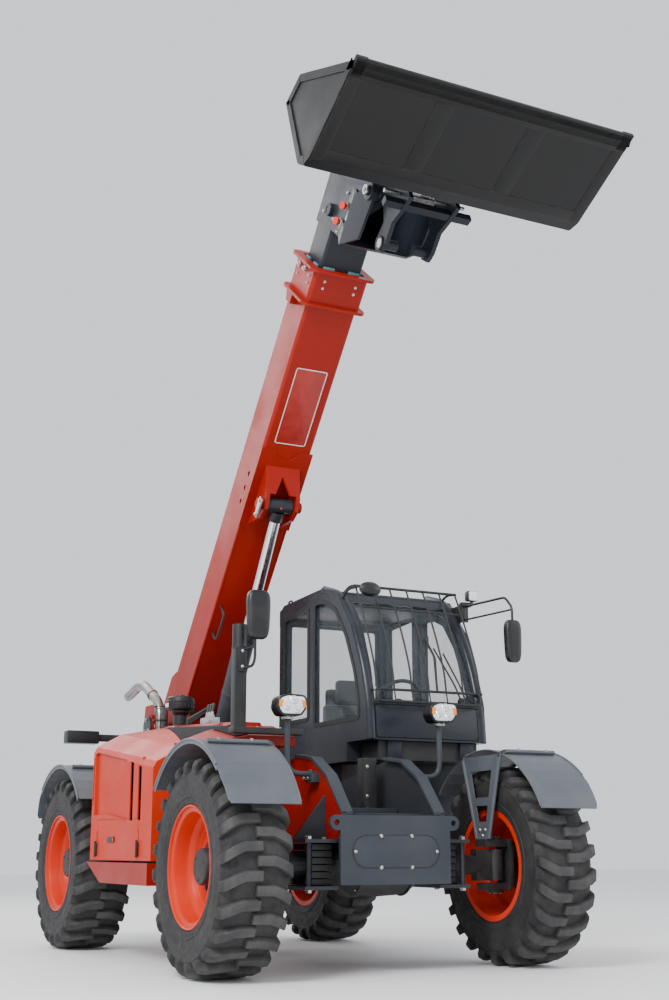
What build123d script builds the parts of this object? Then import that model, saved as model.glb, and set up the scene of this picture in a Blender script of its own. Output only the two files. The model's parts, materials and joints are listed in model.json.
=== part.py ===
"""Telescopic handler with a loader bucket, boom raised. Millimetres, +X forward, +Y left, +Z up.

Every shape is laid out from the middle of the wheelbase on the ground. The export moves it
by ORIGIN_SHIFT, so that the part's origin is under the middle of its overall length.
"""
from build123d import *
import math
import os

# ---------------------------------------------------------------- driving dimensions
ORIGIN_SHIFT = -378.0
WHEELBASE = 2660.0
TRACK = 1960.0
TYRE_R = 588.0
TYRE_HALF = 204.0
TREAD_R = 556.0
FLANGE_R = 333.0
FLANGE_Y = 180.0
LUGS_PER_SIDE = 24
WHEEL_SIDES = 20
BAR_SIDES = 8
BEND_CHORDS = 3
HUB_R = 105.0
AXLE_Z = TYRE_R
FRONT_X = WHEELBASE / 2
REAR_X = -WHEELBASE / 2
KINGPIN_Y = 830.0
FENDER_R = 690.0
FENDER_CHORDS = 14

PIVOT_X, PIVOT_Z = -1780.0, 1618.0
BOOM_ANGLE = 49.3
BOOM_HALF_W = 190.0
BOOM_HALF_D = 177.0
BOOM_WALL = 12.0
COLLAR_S = 3690.0
COLLAR_LEN = 260.0
INNER_HALF_W = 155.0
INNER_HALF_D = 138.0
BOOM_PIN_R = 45.0

LIFT_EYE_S, LIFT_EYE_N = 2208.0, -310.0
LIFT_BASE_X, LIFT_BASE_Z = -1460.0, 1010.0
BARREL_R = 75.0
ROD_R = 42.0
EYE_R = 52.0

TILT_S, TILT_N = 4630.0, -700.0
BUCKET_HALF_W = 920.0

PLATE_X = 1590.0
SIDE_Y = 330.0
CAB_Y0, CAB_Y1 = 240.0, 1150.0
CAB_SILL_Z = 1365.0
HOOD_Y = -1130.0
HOOD_INNER_Y = -430.0

PARTS = {}


# ---------------------------------------------------------------- small makers
def box(x0, x1, y0, y1, z0, z1):
    size = (x1 - x0, y1 - y0, z1 - z0)
    return Pos((x0 + x1) / 2, (y0 + y1) / 2, (z0 + z1) / 2) * Box(*size)


def slab_y(points, y0, y1):
    """Outline of (x, z) points, thick along Y."""
    wire = Polyline(*[(x, y0, z) for x, z in points], close=True)
    return extrude(make_face(wire), amount=y1 - y0, dir=(0, 1, 0))


def slab_x(points, x0, x1):
    """Outline of (y, z) points, thick along X."""
    wire = Polyline(*[(x0, y, z) for y, z in points], close=True)
    return extrude(make_face(wire), amount=x1 - x0, dir=(1, 0, 0))


def slab_z(points, z0, z1):
    """Outline of (x, y) points, thick along Z."""
    wire = Polyline(*[(x, y, z0) for x, y in points], close=True)
    return extrude(make_face(wire), amount=z1 - z0, dir=(0, 0, 1))


def rod_y(x, z, radius, y0, y1):
    return Pos(x, (y0 + y1) / 2, z) * Rot(90, 0, 0) * Cylinder(radius, y1 - y0)


def rod_z(x, y, radius, z0, z1):
    return Pos(x, y, (z0 + z1) / 2) * Cylinder(radius, z1 - z0)


def rod_x(y, z, radius, x0, x1):
    return Pos((x0 + x1) / 2, y, z) * Rot(0, 90, 0) * Cylinder(radius, x1 - x0)


def bar_along(points, radius):
    """Many-sided bar with mitred corners along a polyline."""
    path = Polyline(*points)
    start = Plane(origin=path @ 0, z_dir=path % 0)
    return sweep(start * RegularPolygon(radius, BAR_SIDES), path=path, transition=Transition.RIGHT)


def bent_bar(points, radius, corner):
    """Bar or pipe along a polyline whose corners are bent to one radius, in short chords."""
    stops = [Vector(*points[0])]
    for bend in FilletPolyline(*points, radius=corner).edges().filter_by(GeomType.CIRCLE):
        ends = sorted((0, 1), key=lambda t: (bend @ t - stops[-1]).length)
        stops += [bend @ (ends[0] + (ends[1] - ends[0]) * k / BEND_CHORDS) for k in range(BEND_CHORDS + 1)]
    return bar_along(stops + [Vector(*points[-1])], radius)


def straight_bar(a, b, radius):
    return bar_along([a, b], radius)


def turned(profile, sides):
    """Many-sided turning about Y, from a closed profile of (radius, y) points."""
    profile = [list(point) for point in profile]
    faces = []
    for step in range(sides):
        turns = [2 * math.pi * (step + k) / sides for k in (0, 1)]
        for near, far in zip(profile, profile[1:] + profile[:1]):
            ring = [near + turns[:1], far + turns[:1], far + turns[1:], near + turns[1:]]
            corners = [Vector(r * math.cos(turn), y, r * math.sin(turn)) for r, y, turn in ring]
            corners = [a for a, b in zip(corners, corners[1:] + corners[:1]) if (a - b).length > 1e-6]
            if len(corners) > 2:
                faces.append(Face(Wire.make_polygon(corners, close=True)))
    return Solid(Shell(faces))


def ruled(outline_a, x_a, outline_b, x_b):
    """Straight-sided body between two outlines of (y, z) points."""
    ends = [make_face(Polyline(*[(x, y, z) for y, z in outline], close=True))
            for outline, x in ((outline_a, x_a), (outline_b, x_b))]
    return loft(ends, ruled=True)


def both_sides(shape):
    return [shape, mirror(shape, about=Plane.XZ)]


def in_boom(shape):
    """From the boom's own frame (x along it, z up, pivot at 0) to the machine."""
    return Location((PIVOT_X, 0, PIVOT_Z), (0, -BOOM_ANGLE, 0)) * shape


def keep(name, *solids):
    PARTS[name] = solids


# ---------------------------------------------------------------- wheels
def tyre():
    """Carcass with staggered traction lugs, axis along Y, outer side towards -Y."""
    side = [(FLANGE_R + 0.4, FLANGE_Y - 8), (430, TYRE_HALF), (TREAD_R, TYRE_HALF - 56)]
    profile = [(r, -y) for r, y in side] + side[::-1]
    carcass = turned(profile, WHEEL_SIDES)
    # plan form of one lug: along the tread's circumference, and across it
    end = -TYRE_HALF + 16
    plan = [(-34, end), (22, end), (58, -14), (4, -14)]
    root = TREAD_R - 100
    foot = make_face(Polyline(*[(c, a, root) for c, a in plan], close=True))
    lug = extrude(foot, amount=TYRE_R - 3 - root)
    pitch = 360.0 / LUGS_PER_SIDE
    near = [Rot(0, i * pitch, 0) * lug for i in range(LUGS_PER_SIDE)]
    other = mirror(lug, about=Plane.XZ)
    far = [Rot(0, (i + 0.5) * pitch, 0) * other for i in range(LUGS_PER_SIDE)]
    return carcass + near + far


def rim():
    """Drop-centre rim with its dished disc, outer side towards -Y."""
    outline = [
        (FLANGE_R, -FLANGE_Y), (FLANGE_R, -FLANGE_Y + 14), (300, -60), (270, -40), (270, 30), (300, 60),
        (FLANGE_R, FLANGE_Y - 14), (FLANGE_R, FLANGE_Y), (FLANGE_R - 34, FLANGE_Y), (258, 36), (258, -30),
        (140, -14), (140, -32), (190, -34), (262, -58), (288, -100), (FLANGE_R - 34, -FLANGE_Y),
    ]
    return turned(outline, WHEEL_SIDES)


def hub():
    """Planetary hub that carries the rim, outer side towards -Y."""
    outline = [(0, -46), (HUB_R, -46), (150, -32), (150, 60), (0, 60)]
    return turned(outline, WHEEL_SIDES) + rod_y(0, 0, HUB_R, -120, -45)


def knuckle():
    """Swivel with its stub axle and steering arm, outer side towards -Y, wheel centre at 0."""
    kingpin_y = TRACK / 2 - KINGPIN_Y
    arm_end = kingpin_y + 96
    stub = Rot(90, 0, 0) * Pos(0, 0, -70) * extrude(RegularPolygon(78, 12), 9.7)
    web = slab_y([(-60, -150), (60, -150), (84, -60), (84, 60),
                  (60, 150), (-60, 150), (-84, 60), (-84, -60)], 66, 88)
    arms = [box(-58, 58, 66, arm_end, z, z + 44) for z in (106, -150)]
    caps = [Pos(0, kingpin_y, z) * extrude(RegularPolygon(50, 12), 14) for z in (150, -164)]
    lug = box(-156, -50, 66, 88, -44, -14) + box(-156, -122, 66, arm_end, -44, -14)
    return stub + web + arms + caps + lug


def fender():
    """Mudguard arc over the tyre with its V-shaped carrier, wheel centre at 0."""
    outer_y, inner_y = -208.0, 216.0
    start, end = 28.0, 141.0
    sheet = 6.0

    def arc_band(radius, thick, y0, y1, a0, a1):
        turns = [math.radians(a0 + (a1 - a0) * k / FENDER_CHORDS) for k in range(FENDER_CHORDS + 1)]
        over = [(radius * math.cos(a), radius * math.sin(a)) for a in turns]
        under = [((radius - thick) * math.cos(a), (radius - thick) * math.sin(a)) for a in turns]
        return slab_y(over + under[::-1], y0, y1)

    skin = arc_band(FENDER_R, sheet, outer_y, inner_y, start, end)
    corner = slab_z([(500, outer_y - 1), (700, outer_y - 1), (700, outer_y + 190), (655, outer_y + 80),
                     (590, outer_y + 12)], 200, 560)
    skin = skin - corner
    lip = arc_band(FENDER_R, 26, outer_y, outer_y + 6, 48, end)
    carrier_y = 228.0
    carrier = slab_y([(-200, FENDER_R - 38), (200, FENDER_R - 38), (62, 150.5), (-62, 150.5)],
                     carrier_y - 4, carrier_y + 4)
    window = slab_y([(-118, 560), (118, 560), (78, 400), (-78, 400)], carrier_y - 9, carrier_y + 9)
    lower = slab_y([(-66, 350), (66, 350), (44, 255), (-44, 255)], carrier_y - 9, carrier_y + 9)
    foot = box(-62, 62, carrier_y - 24, carrier_y + 16, 150.5, 162)
    rail_r = FENDER_R + 13
    tubes = [bent_bar([(x * 0.3, carrier_y, 157), (x, carrier_y, math.sqrt(rail_r ** 2 - x ** 2)),
                       (x, outer_y + 40, math.sqrt(rail_r ** 2 - x ** 2))], 14, 46) for x in (-215, 215)]
    return skin + lip + (carrier - window - lower) + foot + tubes


def at_wheel(shape, x, side):
    """Wheel parts are made for the right side; the left side mirrors them."""
    placed = Pos(x, -TRACK / 2, AXLE_Z) * shape
    return placed if side < 0 else mirror(placed, about=Plane.XZ)


def make_wheels():
    shapes = {"tyre": tyre(), "rim": rim() + hub(), "knuckle": knuckle(), "fender": fender()}
    for end, x in (("front", FRONT_X), ("rear", REAR_X)):
        for name, side in (("right", -1), ("left", 1)):
            for kind, shape in shapes.items():
                if kind == "fender" and end == "rear":
                    shape = mirror(shape, about=Plane.YZ)
                keep(f"{end}_{name}_{kind}", at_wheel(shape, x, side))


def make_axles():
    for end, x in (("front", FRONT_X), ("rear", REAR_X)):
        outline = [(0, -700), (52, -700), (80, -300), (165, -170), (175, 0),
                   (165, 170), (80, 300), (52, 700), (0, 700)]
        beam = Pos(x, 0, AXLE_Z) * turned(outline, 16)
        low, high = AXLE_Z - 92, AXLE_Z + 92
        fork = box(x - 34, x + 34, 680, KINGPIN_Y, low, high) + rod_z(x, KINGPIN_Y, 52, low, high)
        ram_x = x - 215 if end == "front" else x + 215
        x0, x1 = sorted((x, ram_x))
        ram_z = AXLE_Z - 25
        ram = rod_y(ram_x, ram_z, 36, -300, 300) + rod_y(ram_x, ram_z, 18, -420, 420)
        hold = [box(x0, x1, y - 30, y + 30, ram_z - 35, ram_z + 35) for y in (-200, 200)]
        nose = rod_x(0, 560, 60, *sorted((x, ram_x + math.copysign(44, ram_x - x))))
        keep(f"{end}_axle", beam + both_sides(fork) + ram + hold + nose)


# ---------------------------------------------------------------- chassis
def make_chassis():
    side = slab_y([
        (-2010, 720), (-1500, 640), (-1500, 760), (-1160, 760), (-1160, 612), (-1066, 520), (1066, 520),
        (1150, 600), (1150, 735), (1510, 735),
        (1510, 500), (PLATE_X - 25, 500), (PLATE_X - 25, 866), (1360, 1085), (1160, 1195), (930, 1225),
        (300, 1120), (-900, 1120), (-1300, 1420), (-1600, 1800), (-1960, 1800), (-2010, 1500),
    ], SIDE_Y - 22, SIDE_Y)
    bore = rod_y(PIVOT_X, PIVOT_Z, BOOM_PIN_R - 1, -SIDE_Y - 90, SIDE_Y + 90)
    boss = rod_y(PIVOT_X, PIVOT_Z, 105, SIDE_Y - 60, SIDE_Y + 30)
    sides = both_sides(side + boss)
    cross = [
        box(-2010, -1960, -SIDE_Y, SIDE_Y, 720, 1260),
        box(-1010, -960, -SIDE_Y, SIDE_Y, 520, 860),
        box(-60, 0, -SIDE_Y, SIDE_Y, 520, 760),
        box(1000, 1040, -SIDE_Y, SIDE_Y, 520, 860),
        box(1040, PLATE_X - 25, -SIDE_Y, SIDE_Y, 856, 872),
    ]
    lift_lug = both_sides(slab_y([
        (LIFT_BASE_X - 160, 776), (LIFT_BASE_X + 200, 776), (LIFT_BASE_X + 70, LIFT_BASE_Z + 70),
        (LIFT_BASE_X - 70, LIFT_BASE_Z + 70),
    ], 92, 117))
    lug_deck = box(LIFT_BASE_X - 160, LIFT_BASE_X + 270, -SIDE_Y, SIDE_Y, 772, 790)
    frame = Part() + sides + cross + lift_lug + lug_deck
    rams = [rod_y(x, AXLE_Z - 25, 45, -400, 400) for x in (FRONT_X - 215, REAR_X + 215)]
    shaft_ways = rod_x(0, 560, 62, -1050, 1050)
    pivot_pin = rod_y(PIVOT_X, PIVOT_Z, BOOM_PIN_R - 0.05, -SIDE_Y - 34, SIDE_Y + 34)
    lift_base_pin = rod_y(LIFT_BASE_X, LIFT_BASE_Z, 35, -130, 130)
    frame = frame - bore - rams - shaft_ways + pivot_pin + lift_base_pin
    keep("chassis_frame", frame)

    # front bumper plate with two ears
    half, low, high = 358.0, 486.0, 868.0
    plate = slab_x([(-half, low), (half, low), (half, high), (-half, high)], PLATE_X - 25, PLATE_X)
    ears = both_sides(Pos(PLATE_X - 12.5, half + 22, high - 42) * Rot(0, 90, 0) * Cylinder(42, 25)
                      + box(PLATE_X - 25, PLATE_X, half - 40, half + 22, high - 84, high))
    holes = both_sides(rod_x(half + 24, high - 42, 17, PLATE_X - 60, PLATE_X + 60))
    bolts = [rod_x(y, z, 8.5, PLATE_X - 60, PLATE_X + 60) for y in (-100, 100) for z in (582, 752)]
    keep("front_plate", Part() + plate + ears - holes - bolts)

    # grey trim of the front arms, side gussets and the axle clamps
    strip = slab_y([
        (930, 1226), (1160, 1196), (1360, 1086), (PLATE_X - 26, 867), (PLATE_X - 26, 890), (1368, 1102),
        (1166, 1214), (930, 1244),
    ], SIDE_Y - 62, SIDE_Y + 10)
    clamp = box(1150, 1510, SIDE_Y + 1, 540, 716, 736) + box(1150, 1510, SIDE_Y + 1, 540, 460, 480)
    studs = [Pos(x, 505, 480) * extrude(RegularPolygon(15, 6), 280) for x in (1180, 1480)]
    gusset = slab_x([(SIDE_Y + 1, 736), (530, 736), (SIDE_Y + 1, 985)], 1320, 1340)
    trim = [strip - frame, clamp + studs + gusset]
    keep("front_arm_trim", *[piece for shape in trim for piece in both_sides(shape)])

    belly = slab_x([(-250, 450), (250, 450), (300, 520), (300, 700), (-300, 700), (-300, 520)], 560, 940)
    gearbox = slab_x([(-190, 430), (190, 430), (240, 520), (240, 800), (-240, 800), (-240, 520)], 60, 520)
    shafts = rod_x(0, 560, 42, 940, 1070) + rod_x(0, 560, 42, -1070, 60)
    keep("driveline", belly + gearbox + shafts)

    weight = [(-2011, 700), (-2011, 1250), (-2090, 1250), (-2150, 1180), (-2150, 760), (-2090, 700)]
    keep("counterweight", slab_y(weight, -420, 420))


def make_engine_side():
    sill = slab_x([(HOOD_Y - 20, 470), (HOOD_Y + 60, 470), (HOOD_Y + 90, 500), (HOOD_Y + 90, 600),
                   (HOOD_Y - 20, 600)], -648, 600)
    sill = sill - slab_y([(-649, 469), (-340, 469), (-649, 600)], HOOD_Y - 60, HOOD_Y + 120)
    hangers = [box(x, x + 80, HOOD_Y + 89, -SIDE_Y - 1, 530, 590) for x in (-300, 360)]
    keep("side_sill", sill + hangers)

    def fall(x):
        """How far the hood's top has dropped at this x, towards the front."""
        return 72.0 * (x + 648) / 1248

    def section(x, inset, y_in, z_low):
        """Hood outline at one x: upright side, swollen shoulder, gently rising top."""
        shoulder, top = 1365 - 1.3 * fall(x) * 1.75, 1512 - fall(x)
        return [(HOOD_Y + inset, z_low), (HOOD_Y + inset, shoulder - 40), (HOOD_Y + 22 + inset, shoulder),
                (HOOD_Y + 190 + inset * 0.7, shoulder + 92 - inset), (y_in, top - inset), (y_in, z_low)]

    def cover(inset, y_in, z_low):
        x0, x1 = -648 + inset, 600 - inset
        return ruled(section(x0, inset, y_in, z_low), x0, section(x1, inset, y_in, z_low), x1)

    skin = 8.0
    shell = cover(0, -640, 612) - cover(skin, -500, 500)
    panel = [(-600, 1310), (-560, 1322), (80, 1236), (100, 1210), (96, 850), (40, 868), (-300, 905),
             (-590, 905)]
    deep = HOOD_Y + 18
    shell -= slab_y(panel, HOOD_Y - 5, HOOD_Y + skin + 1)
    grown = [(x + (skin if x > -300 else -skin), z + (skin if z > 1000 else -skin)) for x, z in panel]
    shell += slab_y(grown, HOOD_Y + skin - 1, deep + skin) - slab_y(panel, HOOD_Y, deep)
    front_slots = [slab_y([(x, top), (x + 62, top - 12), (x + 66, 852), (x + 6, 858)],
                          HOOD_Y - 5, HOOD_Y + 40) for x, top in ((165, 1222), (322, 1190))]
    rear_slot = slab_y([(-634, 1290), (-612, 1286), (-616, 960), (-634, 968)], HOOD_Y - 5, HOOD_Y + 17)
    hinge_slots = [box(x, x + 16, HOOD_Y - 5, HOOD_Y + 30, 640, 800) for x in (-508, 354)]
    lid_edge = [(-500, 874), (350, 868), (368, 622), (362, 622),
                (344, 862), (-494, 868), (-430, 622), (-436, 622)]
    lid_groove = slab_y(lid_edge, HOOD_Y - 5, HOOD_Y + 4)
    shell = shell - front_slots - rear_slot - hinge_slots - lid_groove
    ribs = [box(x, x + 14, HOOD_Y + 14, HOOD_Y + 32, 842, 1240) for x in (190, 350)]
    shell += Part() + ribs
    # lid hinge: barrels along the sloping inner edge, on the hood and on the engine bay
    edge_a, edge_b = Vector(-648, -640, 1512), Vector(600, -640, 1440)
    along = (edge_b - edge_a).normalized()

    def barrel(start, length, radius=10):
        return Plane(origin=edge_a + along * start, z_dir=along) * extrude(Circle(radius), length)

    shell -= Part() + [barrel(start, 38, 15) for start in (241, 1061)]
    shell += Part() + [barrel(start, 60) for start in (180, 1000)]
    keep("engine_hood", shell)

    keep("engine_block", box(-450, 420, -980, -480, 640, 1260))

    wall = [(-625, 1000), (-625, 1512), (-590, 1530), (-440, 1530), (-420, 1500), (-SIDE_Y - 1, 1400),
            (-SIDE_Y - 1, 1000)]
    ridge = [(-625, 1498), (-625, 1512), (-590, 1530), (-450, 1530),
             (-420, 1500), (-432, 1490), (-455, 1516), (-585, 1516)]

    def lowered(outline, x):
        return [(y, z - fall(x) if z > 1100 else z) for y, z in outline]

    bay = slab_x(wall, -690, -670)
    top = ruled(lowered(ridge, -670), -670, lowered(ridge, 620), 620)
    front_wall = slab_x(lowered(wall, 612), 606, 625)
    nose_rear = [(-1010, 1290), (-1010, 1310), (-800, 1392), (-640, 1438), (-350, 1438), (-350, 1290)]
    nose_tip = [(-860, 1290), (-860, 1296), (-760, 1322), (-640, 1346), (-350, 1346), (-350, 1290)]
    nose = ruled(nose_rear, 625, nose_tip, 960)
    feet = box(640, 700, -352, -SIDE_Y - 0.5, 1180, 1400) + box(640, 700, -420, -350, 1180, 1300)
    leaf = Vector(0, 40, 4)
    lid_lugs = []
    for start in (245, 1065):
        middle = edge_a + along * (start + 15)
        lid_lugs.append(barrel(start, 30) + straight_bar(middle, middle + leaf, 8))
    bay_body = bay + top + front_wall + nose + feet + lid_lugs
    keep("engine_bay", bay_body)

    keep("exhaust", bent_bar([(-692, -520, 1420), (-1000, -530, 1420), (-1000, -540, 1720),
                              (-1400, -550, 1920), (-1720, -560, 1835)], 38, 70))
    cleaner = rod_z(-590, -530, 100, 1640, 1730) + rod_z(-590, -530, 52, 1510, 1640) - bay_body
    keep("pre_cleaner", cleaner.solids().sort_by(Axis.Z)[-1])


# ---------------------------------------------------------------- cab
def cab_outline(inset):
    """Side view of the cab: curved screen, roof, upright back."""
    return [(-590 + inset, 800 + inset), (-590 + inset, 2400), (-520, 2440 - inset), (100, 2460 - inset),
            (360, 2390 - inset), (565 - inset, 2140), (700 - inset, 1850), (768 - inset, 1620),
            (785 - inset, CAB_SILL_Z + inset), (500 - inset, CAB_SILL_Z + inset), (500 - inset, 800 + inset)]


def pane_y(outline, y):
    """Flat window pane that fills an outline of (x, z) points."""
    face = make_face(Polyline(*[(x, y, z) for x, z in outline], close=True))
    return extrude(offset(face, amount=-0.5, kind=Kind.INTERSECTION), amount=6, dir=(0, 1, 0))


def make_cab():
    wall = 45.0
    frame_side, ledge = SIDE_Y + 12, 1240.0
    shell = slab_y(cab_outline(0), CAB_Y0, CAB_Y1) - box(-600, 510, CAB_Y0 - 5, frame_side, 790, ledge)
    room = slab_y(cab_outline(wall), CAB_Y0 + wall, CAB_Y1 - wall)
    shell = shell - (room - box(-600, 510, CAB_Y0, frame_side + wall, 790, ledge + wall))
    side_windows = [
        [(-510, 1560), (-510, 2330), (-90, 2360), (-90, 1560)],
        [(0, 1510), (0, 2370), (140, 2370), (330, 2290), (500, 2080), (620, 1830), (676, 1620), (676, 1510)],
    ]
    for outline in side_windows:
        shell -= slab_y(outline, CAB_Y0 - 5, CAB_Y0 + wall + 5)

    def screen_block(gap):
        """Windscreen outline, taller than wide, drawn in by a gap."""
        low, high = 1620 + gap, 2330 - gap
        return slab_x([(CAB_Y0 + 70 + gap, low), (CAB_Y1 - 70 - gap, low), (CAB_Y1 - 95 - gap, high),
                       (CAB_Y0 + 95 + gap, high)], 300 + gap, 900 - gap)

    back = box(-620, -500, CAB_Y0 + 80, CAB_Y1 - 80, 1500, 2320)
    door = [(-40, 850), (-40, 2370), (140, 2370), (330, 2290), (500, 2080), (620, 1830), (676, 1620),
            (700, 1420), (450, 1420), (450, 850)]
    door_hole = slab_y(door, CAB_Y1 - wall - 5, CAB_Y1 + 5)
    quarter_light = [(-510, 1560), (-510, 2330), (-120, 2355), (-120, 1560)]
    rear_left = slab_y(quarter_light, CAB_Y1 - wall - 5, CAB_Y1 + 5)
    shell = shell - screen_block(0) - back - door_hole - rear_left
    keep("cab_shell", shell)
    bent_sheet = slab_y(cab_outline(14), CAB_Y0, CAB_Y1) - slab_y(cab_outline(20), CAB_Y0 - 5, CAB_Y1 + 5)
    curved = bent_sheet & screen_block(1)
    panes = [pane_y(outline, CAB_Y0 + 14) for outline in side_windows] + [pane_y(quarter_light, CAB_Y1 - 20)]
    back_pane = box(-576, -570, CAB_Y0 + 80.5, CAB_Y1 - 80.5, 1500.5, 2319.5)
    keep("cab_glazing", curved, back_pane, *panes)

    opening = make_face(Polyline(*[(x, CAB_Y1 - 36, z) for x, z in door], close=True))
    inner = extrude(offset(opening, amount=-8, kind=Kind.INTERSECTION), amount=34, dir=(0, 1, 0))
    light = [(20, 1500), (20, 2310), (140, 2310), (300, 2240),
             (450, 2050), (565, 1800), (615, 1620), (620, 1500)]
    pane = slab_y(light, CAB_Y1 - 60, CAB_Y1 + 10)
    keep("door_glass", pane_y(light, CAB_Y1 - 22))
    hinges = [rod_z(-20, CAB_Y1 + 13, 11, z, z + 90) + box(-20, 34, CAB_Y1 + 2, CAB_Y1 + 10, z, z + 90)
              + box(10, 34, CAB_Y1 - 10, CAB_Y1 + 3, z, z + 90) for z in (1010, 2110)]
    leaf = inner - pane + hinges
    keep("cab_door", leaf)

    cushion, backrest = box(-330, 120, 460, 940, 1150, 1290), box(-400, -290, 470, 930, 1200, 1900)
    pedestal = box(-300, 60, 520, 880, 846, 1150)
    keep("seat", cushion + backrest + pedestal)
    grip = [(180 + 15 * math.cos(k * math.pi / 4), 15 * math.sin(k * math.pi / 4)) for k in range(8)]
    wheel = Pos(380, 700, 1640) * Rot(0, -62, 0) * Rot(90, 0, 0) * turned(grip, WHEEL_SIDES)
    column = straight_bar((440, 700, 1411), (372, 700, 1632), 34)
    spokes = Pos(380, 700, 1640) * Rot(0, -62, 0) * (Box(30, 350, 14) + Cylinder(40, 20))
    keep("steering_console", column + wheel + spokes)

    lugs = box(-640, -591, CAB_Y0 + 20, CAB_Y0 + 120, 2300, 2420)
    front_beam = box(510, 755, CAB_Y0 + 100, CAB_Y1 - 60, 1240, CAB_SILL_Z - 0.5)
    keep("cab_mount", box(-560, 470, SIDE_Y + 1, CAB_Y1 - 30, 740, 798), lugs, front_beam)


def make_cab_trim():
    cab_solid = slab_y(cab_outline(0), CAB_Y0, CAB_Y1)
    y0, y1 = CAB_Y0 + 60, CAB_Y1 - 60
    bars = [bar_along([(520, y, 2420), (604, y, 2262), (722, y, 2010), (790, y, 1830), (812, y, 1690)], 7)
            for y in [y0 + i * (y1 - y0) / 6 for i in range(7)]]
    across = [straight_bar((x, y0, z), (x, y1, z), radius)
              for x, z, radius in ((520, 2420, 12), (604, 2262, 8), (812, 1690, 12), (832, 1612, 11))]
    ties = [straight_bar((812, y, 1690), (832, y, 1612), 11) for y in (y0, y0 + 250, y1 - 250, y1)]
    holders = [box(740, 812, y, y + 20, 1680, 1700) for y in (y0, y1 - 20)]
    holders += [box(330, 520, y, y + 20, 2410, 2430) for y in (y0, y1 - 20)]
    keep("screen_guard", Part() + bars + across + ties + holders - cab_solid)

    arm = bar_along([(560, CAB_Y1 - 20, 2330), (1010, 1185, 2330),
                     (1090, 1185, 2250), (1090, 1185, 2150)], 10)
    arm += straight_bar((560, CAB_Y1 - 20, 2235), (1090, 1185, 2235), 10)
    bracket = box(380, 570, CAB_Y1 - 45, CAB_Y1 - 5, 2220, 2345) - cab_solid
    mirror_set = arm + bracket + box(1055, 1125, 1125, 1240, 1880, 2160)
    work_lamp = box(560, 620, 1155, 1225, 2370, 2440) + box(540, 580, CAB_Y1 - 20, 1170, 2325, 2385)
    keep("left_mirror", mirror_set + work_lamp)


def make_front_fittings():
    post = box(962, 1030, -782, -705, 1352, 1880) + rod_z(996, -744, 38, 1880, 2005)
    rail = box(965, 1030, -705, -SIDE_Y - 1, 1356, 1386)
    loop = bent_bar([(1020, -740, 1740), (1112, -690, 1745), (1112, -690, 1910)], 9, 30)
    mirror_body = box(1076, 1144, -750, -595, 1905, 2205)
    keep("right_mirror", post + rail + loop + mirror_body)

    def lamp_set(y_sign):
        y = y_sign * 520
        stalk = bent_bar([(1215, y_sign * (SIDE_Y + 0.5), 1110), (1215, y, 1110), (1215, y, 1439.5)], 16, 60)
        face = [(-95, -18), (-84, 44), (-30, 64), (78, 60), (96, 40), (92, -22), (58, -64), (-66, -64)]
        case = slab_x([(y + a, 1505 + b) for a, b in face], 1180, 1285)
        return stalk, case + rod_z(1215, y, 24, 1440, 1460)

    right_stalk, right_lamp = lamp_set(-1)
    left_stalk, left_lamp = lamp_set(1)
    keep("lamp_stalks", right_stalk, left_stalk)
    keep("headlamps", right_lamp, left_lamp)

    tank = box(-620, 430, SIDE_Y + 12, 1080, 500, 735)
    steps = [box(-380, 60, 1079, 1165, z, z + 25) for z in (480, 700)]
    cheeks = [box(x, x + 12, 1079, 1165, 480, 725) for x in (-392, 60)]
    keep("fuel_tank", tank + steps + cheeks)

    lamp_box = box(-2080, -1960, -960, -700, 1490, 1590)
    lamp_arm = box(-2040, -2000, -700, -SIDE_Y - 1, 1510, 1570)
    lamp_foot = box(-2040, -2000, -SIDE_Y - 60, -SIDE_Y - 1, 1300, 1570)
    keep("rear_lamp_box", lamp_box + lamp_arm + lamp_foot)


# ---------------------------------------------------------------- boom
def rounded_bar(half_w, half_d, corner, s0, s1):
    return extrude(Plane.YZ.offset(s0) * RectangleRounded(2 * half_w, 2 * half_d, corner), s1 - s0)


def rect_tube(half_w, half_d, wall, s0, s1, corner):
    """Box-section tube with bent corners."""
    inside = rounded_bar(half_w - wall, half_d - wall, corner - wall + 4, s0 - 1, s1 + 1)
    return rounded_bar(half_w, half_d, corner, s0, s1) - inside


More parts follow.
